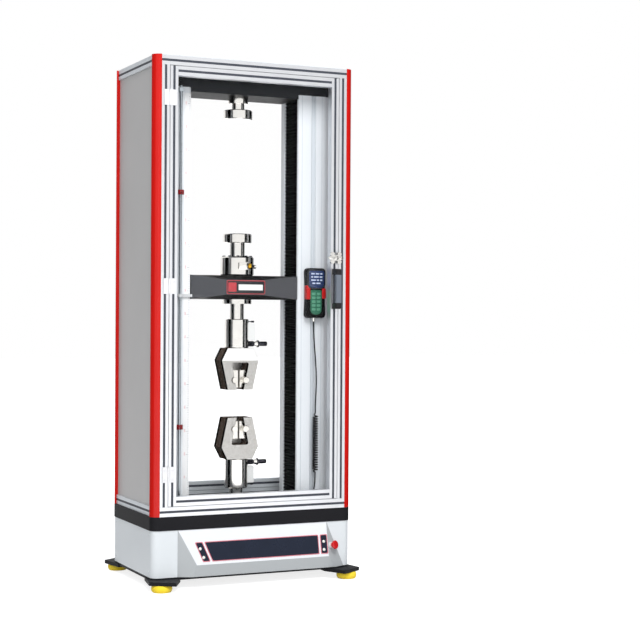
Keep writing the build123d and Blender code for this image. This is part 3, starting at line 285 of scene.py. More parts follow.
nodeFinishes = {
    # the upper grip has a painted highlight above 948 mm, the lower one nowhere
    "upper_grip_body": groundAndBlacked("upperGripSteel", *gripTones, 948),
    "lower_grip_body": groundAndBlacked("lowerGripSteel", *gripTones, 3000),
    # casing: charcoal front, its bevels painted near black as painted shade
    "crosshead_cover": powderCoat(
        "charcoalCasing", "#4e4f53", "#434448", 0.4, shine=0.3, paintedShadeTone="#0d0d0e", facing=(0, -1, 0)
    ),
    # beam: dark front, its other faces painted near black as painted shade
    "upper_beam": powderCoat(
        "beamPaint", "#303235", "#28292c", 0.5, shine=0.12, paintedShadeTone="#0e0e0f", facing=(0, -1, 0)
    ),
    # console: pale sloping face, its facets painted greyer as painted shade
    "control_console": powderCoat(
        "consoleEnamel",
        "#e8eaee",
        "#e2e5e9",
        0.4,
        shine=0.35,
        paintedShadeTone="#b0b4b6",
        facing=(0, -0.978, 0.2095),
    ),
    # bow handle: black ends, grey where a hand holds it
    "door_handle": moulded(
        "handleNylon", "#17171a", "#101013", 0.4, shine=0.4, sleeve=("#6a717b", 2, 1264.5, 61)
    ),
    # rear bars: dulled, more grey than mirror
    "rear_frame": machined(
        "weatheredAluminium", "#dce1e5", "#d2d7dc", 0.45, 3, 40, "", peel=0.04, metallic=0.25, edgeMm=1.0
    ),
    # side sheets: flat warm grey, painted darker than the cabinet as painted shade
    "side_panels": powderCoat("sidePanelPaint", "#c1c0bf", "#b9b8b7", 0.45, shine=0.25),
    # stop bracket: dark ends round a pale middle
    "limit_arm": moulded("bracketNylon", "#4a4b4f", "#424347", 0.45, sleeve=("#c9cbcd", 0, -300, 52)),
    # stop rod: cool grey with fine rings
    "limit_rod": machined("groundRod", "#c4ccd2", "#b3bcc3", 0.3, 1.6, 60, "XY"),
    "estop_collar": finishes["white_plastic"],
    # pendant and holder: deep black, hardly any shine
    "pendant_body": moulded("pendantAbs", "#0c0c0e", "#070708", 0.5, shine=0.15),
    "pendant_holder": moulded("holderAbs", "#101012", "#0a0a0b", 0.5, shine=0.15),
}
# jaws: warm white metal, brighter than the body round them
jawSteel = machined("polishedJawSteel", "#f1eee8", "#dcd8d1", 0.24, 2.2, 30, "X", peel=0.08)
for row in frame["record"]["subparts"]:
    cadNodes[row["node"]].material_slots[0].material = finishes[row["material_slot"]]
for node, finish in nodeFinishes.items():
    cadNodes[node].material_slots[0].material = finish
print("finishes on the CAD nodes:", len(finishes) + len(nodeFinishes))


# modelling helpers, all sizes in millimetres
def deselect():
    bpy.ops.object.select_all(action="DESELECT")


def activate(piece):
    bpy.context.view_layer.objects.active = piece


def pick(piece):
    deselect()
    piece.select_set(True)
    activate(piece)


def applyPlace():
    bpy.ops.object.transform_apply(location=True, rotation=True, scale=True)


def settle(name):
    piece = bpy.context.object
    piece.name = piece.data.name = name
    applyPlace()
    return piece


def editing(on):
    bpy.ops.object.mode_set(mode="EDIT" if on else "OBJECT")


def selectAll():
    bpy.ops.mesh.select_all(action="SELECT")


def extrude(move):
    bpy.ops.mesh.extrude_region_move(TRANSFORM_OT_translate={"value": move})


def faceOutwards():
    selectAll()
    bpy.ops.mesh.normals_make_consistent(inside=False)


def smoothBelow(degrees):
    bpy.ops.object.shade_smooth_by_angle(angle=math.radians(degrees))


def spanOf(low, high):
    centre = [(a + b) / 2000 for a, b in zip(low, high)]
    return centre, [(b - a) / 1000 for a, b in zip(low, high)]


def startBox(name, low, high):
    deselect()
    centre, size = spanOf(low, high)
    bpy.ops.mesh.primitive_cube_add(size=1, location=centre)
    bpy.context.object.scale = size
    return settle(name)


def startPlane(name, low, high, height):
    deselect()
    centre, size = spanOf(low, high)
    bpy.ops.mesh.primitive_plane_add(size=1, location=(*centre, height / 1000))
    bpy.context.object.scale = (*size, 1)
    return settle(name)


# A chain of edges through points in metres, left in edit mode and selected
def startLine(points):
    deselect()
    bpy.ops.mesh.primitive_plane_add(size=0.001, location=points[0])
    editing(True)
    bpy.ops.mesh.select_mode(type="VERT")
    selectAll()
    bpy.ops.mesh.merge(type="CENTER")
    for start, end in zip(points, points[1:]):
        extrude(end - start)
    selectAll()


def choose(kind, test):
    bpy.ops.mesh.select_mode(type=kind)
    bpy.ops.mesh.select_all(action="DESELECT")
    mesh = bpy.context.object.data
    cage = bmesh.from_edit_mesh(mesh)
    for item in {"FACE": cage.faces, "EDGE": cage.edges, "VERT": cage.verts}[kind]:
        corners = item.verts if kind != "VERT" else [item]
        middle = sum((v.co for v in corners), Vector()) / len(corners) * 1000
        if test(item, middle):
            item.select_set(True)
    cage.select_flush_mode()
    bmesh.update_edit_mesh(mesh)


def runsAlong(edge, axis):
    return abs((edge.verts[0].co - edge.verts[1].co).normalized()[axis]) > 0.99


def easeEdges(piece, width, steps=2):
    activate(piece)
    bevel = piece.modifiers.new("easedEdges", "BEVEL")
    bevel.width = width / 1000
    bevel.segments = steps
    bevel.limit_method = "ANGLE"
    bevel.angle_limit = math.radians(40)
    bpy.ops.object.modifier_apply(modifier=bevel.name)
    smoothBelow(35)


# A block with its corners along one axis rounded, the low pair by a radius of their own if given
def roundedBlock(name, low, high, axis, radius, ease, steps=5, lowRadius=None):
    piece = startBox(name, low, high)
    half = (low[2] + high[2]) / 2
    editing(True)
    choose("EDGE", lambda edge, middle: runsAlong(edge, axis) and (middle.z > half or not lowRadius))
    bpy.ops.mesh.bevel(offset=radius / 1000, segments=steps, affect="EDGES")
    if lowRadius:
        choose("EDGE", lambda edge, middle: runsAlong(edge, axis) and middle.z < half)
        bpy.ops.mesh.bevel(offset=lowRadius / 1000, segments=steps, affect="EDGES")
    editing(False)
    easeEdges(piece, ease)
    return piece


# A profile of radius and height, spun round an axis through its foot
def turned(name, foot, axis, profile, steps=32):
    foot, axis = Vector(foot), Vector(axis).normalized()
    side = axis.orthogonal().normalized()
    startLine([(foot + side * radius + axis * height) / 1000 for radius, height in profile])
    bpy.ops.mesh.spin(steps=steps, angle=math.tau, center=foot / 1000, axis=axis)
    selectAll()
    bpy.ops.mesh.remove_doubles(threshold=2e-6)
    bpy.ops.mesh.normals_make_consistent(inside=False)
    editing(False)
    smoothBelow(35)
    return settle(name)


# One piece repeated upwards, its ends welded where weld gives a distance
def repeatUp(piece, count, pitch, weld=0):
    row = piece.modifiers.new("row", "ARRAY")
    row.count = count
    row.use_relative_offset = False
    row.use_constant_offset = True
    row.constant_offset_displace = (0, 0, pitch / 1000)
    row.use_merge_vertices = weld > 0
    row.merge_threshold = weld / 1000
    bpy.ops.object.modifier_apply(modifier=row.name)


# A copy of a CAD node with its loose triangles merged and its flat faces made whole
def cadCopy(name, node):
    source = cadNodes[node]
    mesh = source.data.copy()
    mesh.transform(source.matrix_world)
    piece = bpy.data.objects.new(name, mesh)
    mesh.name = name
    bpy.context.collection.objects.link(piece)
    pick(piece)
    editing(True)
    selectAll()
    bpy.ops.mesh.remove_doubles(threshold=1e-5)
    bpy.ops.mesh.dissolve_limited(angle_limit=math.radians(0.5))
    editing(False)
    return piece


def cut(piece, tool):
    activate(piece)
    notch = piece.modifiers.new("notch", "BOOLEAN")
    notch.object = tool
    notch.operation = "DIFFERENCE"
    notch.solver = "EXACT"
    bpy.ops.object.modifier_apply(modifier=notch.name)
    bpy.data.objects.remove(tool)


# Slivers that a cut leaves along its rim
def clearSlivers(piece):
    activate(piece)
    editing(True)
    selectAll()
    bpy.ops.mesh.dissolve_degenerate(threshold=2e-5)
    editing(False)


def dress(piece, body, material, replaces=()):
    piece.data.materials.clear()
    piece.data.materials.append(material)
    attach(piece, body)
    if replaces:
        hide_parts(*replaces)
    return piece


def joined(name, pieces):
    deselect()
    for piece in pieces:
        piece.select_set(True)
    activate(pieces[0])
    if len(pieces) > 1:
        bpy.ops.object.join()
    pieces[0].name = pieces[0].data.name = name
    return pieces[0]


def copies(piece, steps):
    made = [piece]
    for step in steps:
        pick(piece)
        bpy.ops.object.duplicate(linked=False)
        bpy.ops.transform.translate(value=[v / 1000 for v in step])
        applyPlace()
        made.append(bpy.context.object)
    return made


# Steps from the first place to all the others
def stepsFrom(places):
    return [[b - a for a, b in zip(places[0], place)] for place in places[1:]]


# pendant lead: plain lead, curly part, short tail into its socket
pendantLead = {
    "lead": (
        (320, -171, 1137),
        (320, -171, 1082),
        (324, -173, 1017),
        (329.5, -175, 945),
        (333.5, -176, 872),
        (332, -175, 805),
        (330, -174, 762),
        (330, -174, 722),
    ),
    "tail": (
        (330, -174, 445),
        (330, -174, 412),
        (324, -175.5, 377),
        (315.5, -178, 352),
        (315.5, -178, 330),
    ),
    "sheath": 6.0,
    "turns": 24,
    "pointsPerTurn": 12,
    "startTurns": 1.0,  # over which the curl opens at each end
    "startStretch": 2.0,
    "curl": 10.6,  # from the axis to the middle of the sheath
    "length": 2.06,
    "ferrule": ((0, 3), (6.5, 3), (6.5, -7), (5.2, -10), (5.2, -16), (0, -16)),
    "boot": (
        (0, 0), (5.6, 0), (5.6, 4), (4.7, 5), (4.9, 8), (4.3, 9), (4.5, 12), (3.9, 13), (4.1, 16),
        (3.5, 17), (3.5, 26), (0, 26),
    ),
}


def nurbsLine(name, points):
    curve = bpy.data.curves.new(name, "CURVE")
    curve.dimensions = "3D"
    spline = curve.splines.new("NURBS")
    spline.points.add(len(points) - 1)
    for knot, point in zip(spline.points, points):
        knot.co = (*[v / 1000 for v in point], 1)
    spline.order_u = 3
    spline.use_endpoint_u = True
    line = bpy.data.objects.new(name, curve)
    bpy.context.collection.objects.link(line)
    return line


def makeLead(spec):
    route = nurbsLine("leadRoute", spec["lead"] + spec["tail"])
    bpy.context.view_layer.update()
    drawn = bpy.data.meshes.new_from_object(route)
    path = [v.co * 1000 for v in drawn.vertices]
    bpy.data.objects.remove(route)
    bpy.data.meshes.remove(drawn)
    top, bottom = spec["lead"][-1][2], spec["tail"][0][2]
    count = spec["turns"] * spec["pointsPerTurn"]
    start = spec["startTurns"] * spec["pointsPerTurn"]
    opened = [min(1, step / start, (count - step) / start) for step in range(count + 1)]
    fall = [1 + spec["startStretch"] * (1 - share) for share in opened]
    curl = []
    for step in range(1, count):
        height = top + (bottom - top) * sum(fall[:step]) / sum(fall[:count])
        after = next(i for i, point in enumerate(path) if point.z <= height)
        share = (path[after - 1].z - height) / (path[after - 1].z - path[after].z)
        centre = path[after - 1].lerp(path[after], share)
        angle = math.tau * step / spec["pointsPerTurn"]
        reach = spec["curl"] * opened[step] ** 2 * (3 - 2 * opened[step])
        curl.append((centre.x + reach * math.cos(angle), centre.y + reach * math.sin(angle), height))
    lead = nurbsLine("pendantLead", (*spec["lead"], *curl, *spec["tail"]))
    lead.data.bevel_depth = spec["sheath"] / 2000
    lead.data.bevel_resolution = 3
    lead.data.resolution_u = 5
    lead.data.use_fill_caps = True
    return lead


lead = makeLead(pendantLead)
dress(lead, "frame", finishes["cord_rubber"], ("cord_lead", "cord_coil"))
ferrule = turned("leadFerrule", pendantLead["lead"][0], (0, 0, 1), pendantLead["ferrule"])
dress(ferrule, "frame", finishes["cast_zinc"])
boot = turned("leadBoot", pendantLead["tail"][-1], (0, 0, 1), pendantLead["boot"])
dress(boot, "frame", finishes["cord_rubber"])
print("pendant lead drawn")

# pleated bellows over the column openings
bellowsCovers = {
    "inner": 252.4,
    "outer": 273.6,
    "front": -134.6,
    "back": 2.6,
    "pitch": 15.0,
    "slope": 0.44,  # share of the pitch on each side of a ridge
    "ridge": 0.12,
    "foldX": 0.5,  # share of the width left in a valley
    "foldY": 0.92,
    "cornerCut": 5,
    "spans": {"upper": (1320.5, 2121.0), "lower": (305.0, 1216.5)},
}


def makeBellows(name, side, low, high):
    spec = bellowsCovers
    near, far = sorted((side * spec["inner"], side * spec["outer"]))
    count = round((high - low) / spec["pitch"])
    pitch = (high - low) / count
    piece = startPlane(name, (near, spec["front"]), (far, spec["back"]), low)
    hub = ((near + far) / 2000, (spec["front"] + spec["back"]) / 2000, 0)
    valley = (spec["foldX"], spec["foldY"], 1)
    hill = (1 / valley[0], 1 / valley[1], 1)
    editing(True)
    selectAll()
    bpy.ops.mesh.bevel(offset=spec["cornerCut"] / 1000, affect="VERTICES", segments=1)
    bpy.ops.transform.resize(value=valley, center_override=hub)
    for share, size in ((spec["slope"], hill), (spec["ridge"], (1, 1, 1)), (spec["slope"], valley)):
        extrude((0, 0, share * pitch / 1000))
        bpy.ops.transform.resize(value=size, center_override=hub)
    choose("FACE", lambda face, middle: abs(face.normal.z) > 0.99)
    bpy.ops.mesh.delete(type="FACE")
    editing(False)
    repeatUp(piece, count, pitch, weld=0.2)
    editing(True)
    for end in (low, high):
        choose("EDGE", lambda edge, middle: edge.is_boundary and abs(middle.z - end) < 0.1)
        bpy.ops.mesh.edge_face_add()
    faceOutwards()
    editing(False)
    smoothBelow(25)
    return piece


for level, (low, high) in bellowsCovers["spans"].items():
    for sideName, side in (("Left", -1), ("Right", 1)):
        piece = makeBellows(f"{level}Bellows{sideName}", side, low, high)
        piece.data.materials.append(finishes["bellows_cloth"])
        still, moving = ((0, 0, high / 1000), (0, 0, low / 1000))
        if level == "lower":
            still, moving = moving, still
        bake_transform(piece)
        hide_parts(f"{level}_bellows")
print("bellows pleated")

# grip levers: fluted boss, flared neck, collar and a handle end
gripLever = {
    "profile": (
        (0, -14), (5, -14), (5, 0), (10.5, 0), (12, 1.5), (12, 26), (11, 28), (9.5, 29), (9.5, 31),
        (13.5, 44), (15.5, 45), (15.5, 51), (14.5, 52), (8, 52.5), (8, 57.5), (9.6, 58), (10.2, 59.5),
        (10.2, 88), (9, 91), (5, 92), (0, 92),
    ),
    "sides": 24,
    "flutes": (3, 25),  # along the boss
    "fluteRim": 0.3,
    "fluteDepth": 1.6,
    "bright": (31, 44),  # the flare is left bright
    "feet": {"upper": (52, -56, 1021), "lower": (52, -56, 499)},
}


def makeLever(name, foot):
    spec = gripLever
    piece = turned(name, foot, (1, 0, 0), spec["profile"], steps=spec["sides"])
    start, end = spec["flutes"]

    # every other side of the boss
    def onFlute(face, middle):
        turn = math.atan2(middle.z - foot[2], middle.y - foot[1]) / math.tau * spec["sides"]
        onBoss = start < middle.x - foot[0] < end and abs(face.normal.x) < 0.2
        return onBoss and round(turn - 0.5) % 2 == 0

    editing(True)
    choose("FACE", onFlute)
    bpy.ops.mesh.inset(thickness=spec["fluteRim"] / 1000, depth=0, use_individual=True)
    bpy.ops.transform.shrink_fatten(value=-spec["fluteDepth"] / 1000)
    editing(False)
    return piece


for level, foot in gripLever["feet"].items():
    lever = makeLever(f"{level}GripLever", foot)
    dress(lever, f"{level}_grip_lever", finishes["dark_steel"], (f"{level}_grip_lever",))
    lever.data.materials.append(finishes["polished_steel"])
    brightFrom, brightTo = gripLever["bright"]
    for face in lever.data.polygons:
        if brightFrom < face.center.x * 1000 - foot[0] < brightTo:
            face.material_index = 1
print("grip levers turned")

# grip bodies notched round the jaw buttons, jaws set back between the pocket walls
gripFaces = {
    "front": -103,
    "jawFront": -101,
    "recess": 16,
    "recessReach": 60,  # above and below the button
    "button": 13,
    "buttonAcross": 26,
    "buttonHeights": {"upper": 863, "lower": 649},
    "notch": 15.4,
    "notchDepth": 9,
    "toolPast": 5,  # how far a cutting disc runs past what it cuts
    "ease": {"jaw": 0.5, "body": 0.6},
}


def discTool(across, height, near, far, radius):
    profile = ((0, 0), (radius, 0), (radius, far - near), (0, far - near))
    return turned("tool", (across, near, height), (0, 1, 0), profile, steps=48)


def makeJaw(name, node, across, height):
    spec = gripFaces
    jaw = cadCopy(name, node)
    low, high = sorted((0, 3 * across))  # from the middle to past the jaw's outer edge
    front, back = spec["jawFront"], spec["jawFront"] + spec["recess"]
    reach, past = spec["recessReach"], spec["toolPast"]
    tool = startBox("tool", (low, front - 0.6, height - reach), (high, back, height + reach))
    cut(tool, discTool(across, height, front - past, back + past, spec["button"]))
    cut(jaw, tool)
    easeEdges(jaw, spec["ease"]["jaw"])
    clearSlivers(jaw)
    return jaw


for level, height in gripFaces["buttonHeights"].items():
    body = cadCopy(f"{level}GripBody", f"{level}_grip_body")
    for sideName, side in (("Left", -1), ("Right", 1)):
        across = side * gripFaces["buttonAcross"]
        near = gripFaces["front"] - gripFaces["toolPast"]
        far = gripFaces["front"] + gripFaces["notchDepth"]
        cut(body, discTool(across, height, near, far, gripFaces["notch"]))
        node = f"{level}_jaw_{sideName.lower()}"
        jaw = makeJaw(f"{level}Jaw{sideName}", node, across, height)
        dress(jaw, node, jawSteel, (node,))
    easeEdges(body, gripFaces["ease"]["body"])
    clearSlivers(body)
    rides = "crosshead" if level == "upper" else "frame"
    dress(body, rides, nodeFinishes[f"{level}_grip_body"], (f"{level}_grip_body",))
print("grips notched")

# bars that hold the clear rear sheet, as on the door
rearSash = {
    "middle": 254.5,
    "depth": 35,
    "mouth": 10,
    "lip": 2.5,
    "cavity": 18,
    "slotDepth": 9,
    "ease": 0.6,
    "bars": (  # run axis, low and high end, place across, width
        ("X", -354.6, 354.6, 367, 40),
        ("X", -354.6, 354.6, 2167, 40),
        ("Z", 347, 2187, -372.5, 35),
        ("Z", 347, 2187, 372.5, 35),
        ("Z", 345, 2189, -409.5, 35),
        ("Z", 345, 2189, 409.5, 35),
    ),
}


def slottedBar(name, run, start, end, across, width):
    spec = rearSash
    half, deep = width / 2, spec["depth"] / 2
    mouth, cavity = spec["mouth"] / 2, spec["cavity"] / 2
    lip, floor = deep - spec["lip"], deep - spec["slotDepth"]
    near = [(-half, deep), (-mouth, deep), (-mouth, lip), (-cavity, lip), (-cavity, floor)]
    near += [(-u, v) for u, v in reversed(near)]

    def spot(u, v, along):
        place = (along, v, across + u) if run == "X" else (across + u, v, along)
        return (Vector(place) + Vector((0, spec["middle"], 0))) / 1000

    points = [spot(u, v, start) for u, v in near + [(-u, -v) for u, v in near]]
    startLine(points + points[:1])
    bpy.ops.mesh.remove_doubles(threshold=1e-6)
    bpy.ops.mesh.edge_face_add()
    extrude(spot(0, 0, end) - spot(0, 0, start))
    faceOutwards()
    editing(False)
    piece = settle(name)
    easeEdges(piece, spec["ease"], 1)
    return piece


sash = [slottedBar("bar", *bar) for bar in rearSash["bars"]]
dress(joined("rearSashBars", sash), "frame", nodeFinishes["rear_frame"])

# dark covers pressed into the slots of the bars, a little below their faces
slotCover = {
    "width": 9.6,
    "sunk": 0.8,
    "thick": 1.6,
    "footInset": 2.4,
    "footReach": 4.0,
    "endGap": 0.6,
    "ease": 0.25,
    "frontBars": {  # run axis, low and high end, place across
        "frame": (
            ("X", -427, 427, 325),
            ("X", -427, 427, 2209),
            ("Z", 345, 2189, -409.5),
            ("Z", 345, 2189, 409.5),
        ),
        "door": (
            ("X", -355, 355, 367),
            ("X", -355, 355, 2167),
            ("Z", 347, 2187, -372.5),
            ("Z", 347, 1392, 372.5),
            ("Z", 1408, 2187, 372.5),
        ),
    },
    "frontFaces": (-272, -237),
    "rearFaces": (237, 272),
    "sideFaces": (418, 453),
    "rearRun": 427,
    "sideRun": 236.8,
    "levels": (325, 2209),
}


def makeCover(run, start, end, across, face, normal):
    spec = slotCover
    half, gap = spec["width"] / 2, spec["endGap"]
    outer = face - normal * spec["sunk"]
    depth = sorted((outer, outer - normal * spec["thick"]))
    lengthwise, crosswise = (start + gap, end - gap), (across - half, across + half)
    spans = {
        "X": (lengthwise, depth, crosswise),
        "Z": (crosswise, depth, lengthwise),
        "Y": (depth, lengthwise, crosswise),
    }[run]
    axis = 0 if run == "Y" else 1
    piece = startBox("cover", [span[0] for span in spans], [span[1] for span in spans])
    reach = [0, 0, 0]
    reach[axis] = -normal * spec["footReach"] / 1000
    editing(True)
    choose("FACE", lambda face, middle: face.normal[axis] * normal < -0.9)
    bpy.ops.mesh.inset(thickness=spec["footInset"] / 1000, depth=0)
    extrude(reach)
    editing(False)
    easeEdges(piece, spec["ease"], 1)
    return piece


# one cover on each face of a bar
def coversOn(faces, run, start, end, across, side=1):
    return [
        makeCover(run, start, end, across, side * face, side * normal)
        for face, normal in zip(faces, (-1, 1))
    ]


slotPvc = moulded(  # slate grey strip, hardly any shine
    "slotCoverPvc", "#4a4d56", "#3d4048", 0.5, sparkMm=2.5, peel=0.05, shine=0.25
)
for body, bars in slotCover["frontBars"].items():
    covers = sum((coversOn(slotCover["frontFaces"], *bar) for bar in bars), [])
    dress(joined(f"{body}SlotCovers", covers), body, slotPvc)
rearCovers, sideCovers = [], []
rearRun, sideRun = slotCover["rearRun"], slotCover["sideRun"]
for level in slotCover["levels"]:
    rearCovers += coversOn(slotCover["rearFaces"], "X", -rearRun, rearRun, level)
    for side in (-1, 1):
        sideCovers += coversOn(slotCover["sideFaces"], "Y", -sideRun, sideRun, level, side)
for bar in rearSash["bars"]:
    rearCovers += coversOn(slotCover["rearFaces"], *bar[:4])
dress(joined("rearSlotCovers", rearCovers), "frame", slotPvc)
dress(joined("sideSlotCovers", sideCovers), "frame", slotPvc)
print("slot covers pressed in")

# column fronts: a strip laid in each groove and slim ribs beside it
columnTrim = {
    "heights": (306, 2120),
    "strip": (317, 334, -148, -143.9),  # from and to across, then front and back
    "stripCorner": (0.8, 0.2),  # radius, ease
    "ribs": {1: (270, 366), -1: (366,)},  # the scale strip takes the place of the left inner rib
    "ribWidth": 2.4,
    "ribProud": 0.9,
    "ribSunk": 0.5,
    "ribCorner": (0.5, 0.1),
    "front": -149,
}
trims = []
low, high = columnTrim["heights"]
near, far, face, back = columnTrim["strip"]
ribFace = columnTrim["front"] - columnTrim["ribProud"]
ribBack = columnTrim["front"] + columnTrim["ribSunk"]
half = columnTrim["ribWidth"] / 2
for side, ribs in columnTrim["ribs"].items():
    left, right = sorted((side * near, side * far))
    corner = columnTrim["stripCorner"]
    trims.append(roundedBlock("strip", (left, face, low), (right, back, high), 2, *corner, steps=2))
    for across in ribs:
        left, right = side * across - half, side * across + half
        corner = columnTrim["ribCorner"]
        trims.append(roundedBlock("rib", (left, ribFace, low), (right, ribBack, high), 2, *corner, steps=2))
# painted shade: the groove's strip and the ribs are greyer than the column, so that the groove and ribs
# read as lines
trimEnamel = powderCoat(  # a shade greyer than the column, so that the groove shows
    "trimEnamel", "#ccd2d8", "#c4cbd1", 0.32, peelMm=4, peel=0.05
)
dress(joined("columnTrim", trims), "frame", trimEnamel)
print("columns trimmed")

# hand pendant: display, keypad and red side grips on the body's front
displayGlass = moulded("displayGlass", "#33426a", "#2a385e", 0.12, sparkMm=3, peel=0.02)  # lit blue, glassy
displayFrame = moulded("displayFrame", "#26282d", "#1d1f23", 0.3)  # black, half gloss
readoutInk = moulded("readoutInk", "#c9d3ea", "#b7c4e2", 0.35, peel=0.02)  # pale blue glow
keypadFilm = moulded("keypadFilm", "#2c6b51", "#255e47", 0.4, peel=0.1)  # deep green, soft sheen
keyCaps = moulded("keyCaps", "#5c9a7f", "#508e74", 0.45, peel=0.1)  # lighter green, domed
gripRubber = moulded("redGripRubber", "#c8201f", "#b51a1a", 0.5)  # red, dull from handling
pendant = {
    "front": -187.0,
    # low and high corner, proud of the front, sunk in it, corner radius, ease, radius of the low corners
    "displayFrame": ((281, 1263), (369, 1353), 2.0, 2, 14, 0.8, 26),
    "display": ((289, 1270), (363, 1345), 2.6, 1, 9, 0.4, 20),
    "keypad": ((297, 1152), (351, 1260), 1.6, 2, 6, 0.5, 22),
    "keyRows": (1243, 1226, 1209, 1192, 1175),
    "keyColumns": (312, 336),
    "keyHalf": (8.5, 5.5),
    "keyForm": (3.4, 0, 3, 0.8),
    "readoutLeft": 299,
    "readoutHalf": 3,
    "readoutForm": (2.9, 0, 1.2, 0.1),
    "readoutRows": (  # height, then start and width of each group
        (1332, ((0, 17), (22, 17), (44, 10))),
        (1318, ((0, 9), (14, 22), (41, 13))),
        (1304, ((0, 22), (27, 11), (43, 11))),
        (1290, ((6, 14), (25, 20))),
    ),
    "grips": (((278.4, 1219), (296, 1281)), ((353, 1222), (371.6, 1268))),
    "gripForm": (1.8, 27, 5, 1.6),
}


def pendantPlate(name, low, high, proud, sunk, radius, ease, lowRadius=None):
    near, far = pendant["front"] - proud, pendant["front"] + sunk
    corners = (low[0], near, low[1]), (high[0], far, high[1])
    return roundedBlock(name, *corners, 1, radius, ease, lowRadius=lowRadius)


for name, part, finish, slot in (
    ("pendantDisplayFrame", "displayFrame", displayFrame, "black_plastic"),
    ("pendantDisplay", "display", displayGlass, "panel_film"),
    ("pendantKeypad", "keypad", keypadFilm, "black_plastic"),
):
    dress(pendantPlate(name, *pendant[part]), "frame", finish)
rows = []
half = pendant["readoutHalf"]
for height, groups in pendant["readoutRows"]:
    for start, width in groups:
        left = pendant["readoutLeft"] + start
        corners = (left, height - half), (left + width, height + half)
        rows.append(pendantPlate("row", *corners, *pendant["readoutForm"]))
dress(joined("pendantReadout", rows), "frame", readoutInk)
places = [(column, 0, row) for row in pendant["keyRows"] for column in pendant["keyColumns"]]
across, height = pendant["keyColumns"][0], pendant["keyRows"][0]
halfWidth, halfHeight = pendant["keyHalf"]
corners = (across - halfWidth, height - halfHeight), (across + halfWidth, height + halfHeight)
key = pendantPlate("key", *corners, *pendant["keyForm"])
dress(joined("pendantKeys", copies(key, stepsFrom(places))), "frame", keyCaps)
grips = [pendantPlate("grip", *corners, *pendant["gripForm"]) for corners in pendant["grips"]]
dress(joined("pendantGrips", grips), "frame", gripRubber)
print("pendant dressed")

# console films, their rims are the CAD plates; four indicator lamps
panelFilm = moulded(  # navy that turns black away from the light
    "navyPanelFilm", "#1a2234", "#121929", 0.28, sparkMm=3, peel=0.03, shine=0.25
)
lampLens = moulded("lampLens", "#f4f4ef", "#e8e8e2", 0.2, peel=0.03)  # milky white, glassy
consoleFace = {
    "shoulder": (0, -277, 212),
    "fall": (-24, -112),  # in Y and Z from shoulder to lip
    "plateTop": -19,
    "plateHeight": 84,
    "slant": 32,
    "plateProud": 1.5,
    "rim": 3.2,
    "filmProud": 0.7,
    "filmSunk": 0.2,
    "corner": 5,
    "ease": 0.25,
    "plates": ((-233, 296, "left"), (-275, -241, "both"), (304, 338, "")),  # from, to, slanting ends
    "lamps": ((-253.2, 165.8), (-240.2, 129.6), (319.6, 163.6), (318.3, 129.4)),
    "lampProfile": (
        (0, -0.5), (6.4, -0.5), (6.4, 1.2), (5.4, 1.6), (5.2, 2.0), (4.3, 3.2), (2.4, 4.0), (0, 4.2),
    ),
}
fallY, fallZ = consoleFace["fall"]
faceTilt = math.atan2(-fallZ, -fallY)


def layOnFace(piece):
    piece.rotation_euler = (faceTilt, 0, 0)
    piece.location = [v / 1000 for v in consoleFace["shoulder"]]
    pick(piece)
    applyPlace()


def makeFilm(name, left, right, slanted):
    spec = consoleFace
    rim, sunk = spec["rim"], spec["filmSunk"]
    top, bottom = spec["plateTop"], spec["plateTop"] - spec["plateHeight"]
    corners = (left + rim, bottom + rim), (right - rim, top - rim)
    piece = startPlane(name, *corners, spec["plateProud"] - sunk)

    def leaning(middle):
        return slanted == "both" or slanted == "left" and middle.x < (left + right) / 2

    share = rim / spec["plateHeight"]
    editing(True)
    choose("VERT", lambda vert, middle: leaning(middle))
    bpy.ops.transform.translate(value=(spec["slant"] * share / 1000, 0, 0))
    choose("VERT", lambda vert, middle: middle.y < (top + bottom) / 2 and leaning(middle))
    bpy.ops.transform.translate(value=(spec["slant"] * (1 - 2 * share) / 1000, 0, 0))
    selectAll()
    bpy.ops.mesh.bevel(offset=spec["corner"] / 1000, affect="VERTICES", segments=4)
    selectAll()
    extrude((0, 0, (spec["filmProud"] + sunk) / 1000))
    faceOutwards()
    editing(False)
    easeEdges(piece, spec["ease"], 1)
    layOnFace(piece)
    return piece


films = [makeFilm("film", *plate) for plate in consoleFace["plates"]]
dress(joined("consoleFilms", films), "frame", panelFilm)
lamps = []
filmFace = consoleFace["plateProud"] + consoleFace["filmProud"]
for across, height in consoleFace["lamps"]:
    down = (consoleFace["shoulder"][2] - height) / -fallZ * math.hypot(fallY, fallZ)
    lamp = turned("lamp", (across, -down, filmFace), (0, 0, 1), consoleFace["lampProfile"], steps=20)
    layOnFace(lamp)
    lamps.append(lamp)
dress(joined("indicatorLamps", lamps), "frame", lampLens)
print("console dressed")

# crosshead badge left bare: red rim, dark plate, blank fields
# the badge red is painted paler, a painted sheen of its gloss
badgeRed = moulded("badgeRedEnamel", "#c2474c", "#b43d43", 0.3, peel=0.03)  # red, paled by its gloss
badgeWhite = moulded("badgeWhiteEnamel", "#f3f3f1", "#e9e9e6", 0.3, peel=0.03)  # clean white
badgePlate = {
    "front": -149.0,
    "sunk": 0.5,
    "ease": 0.3,
    "parts": (  # name, low and high corner, proud of the casing, corner radius, finish, slot
        ("badgeRim", (-85, 1239), (95, 1299), 1.6, 7, badgeRed, "red_plastic"),
        ("badgeFace", (-82, 1242), (92, 1296), 2.0, 5, displayFrame, "black_plastic"),
        ("badgeSquare", (-78, 1249), (-40, 1289), 2.4, 3, badgeRed, "red_plastic"),
        ("badgeField", (-30, 1256), (84, 1281), 2.4, 2, badgeWhite, "white_plastic"),
    ),
}
for name, low, high, proud, radius, finish, slot in badgePlate["parts"]:
    near, far = badgePlate["front"] - proud, badgePlate["front"] + badgePlate["sunk"]
    corners = (low[0], near, low[1]), (high[0], far, high[1])
    dress(roundedBlock(name, *corners, 1, radius, badgePlate["ease"]), "crosshead", finish)
print("badge plate set")

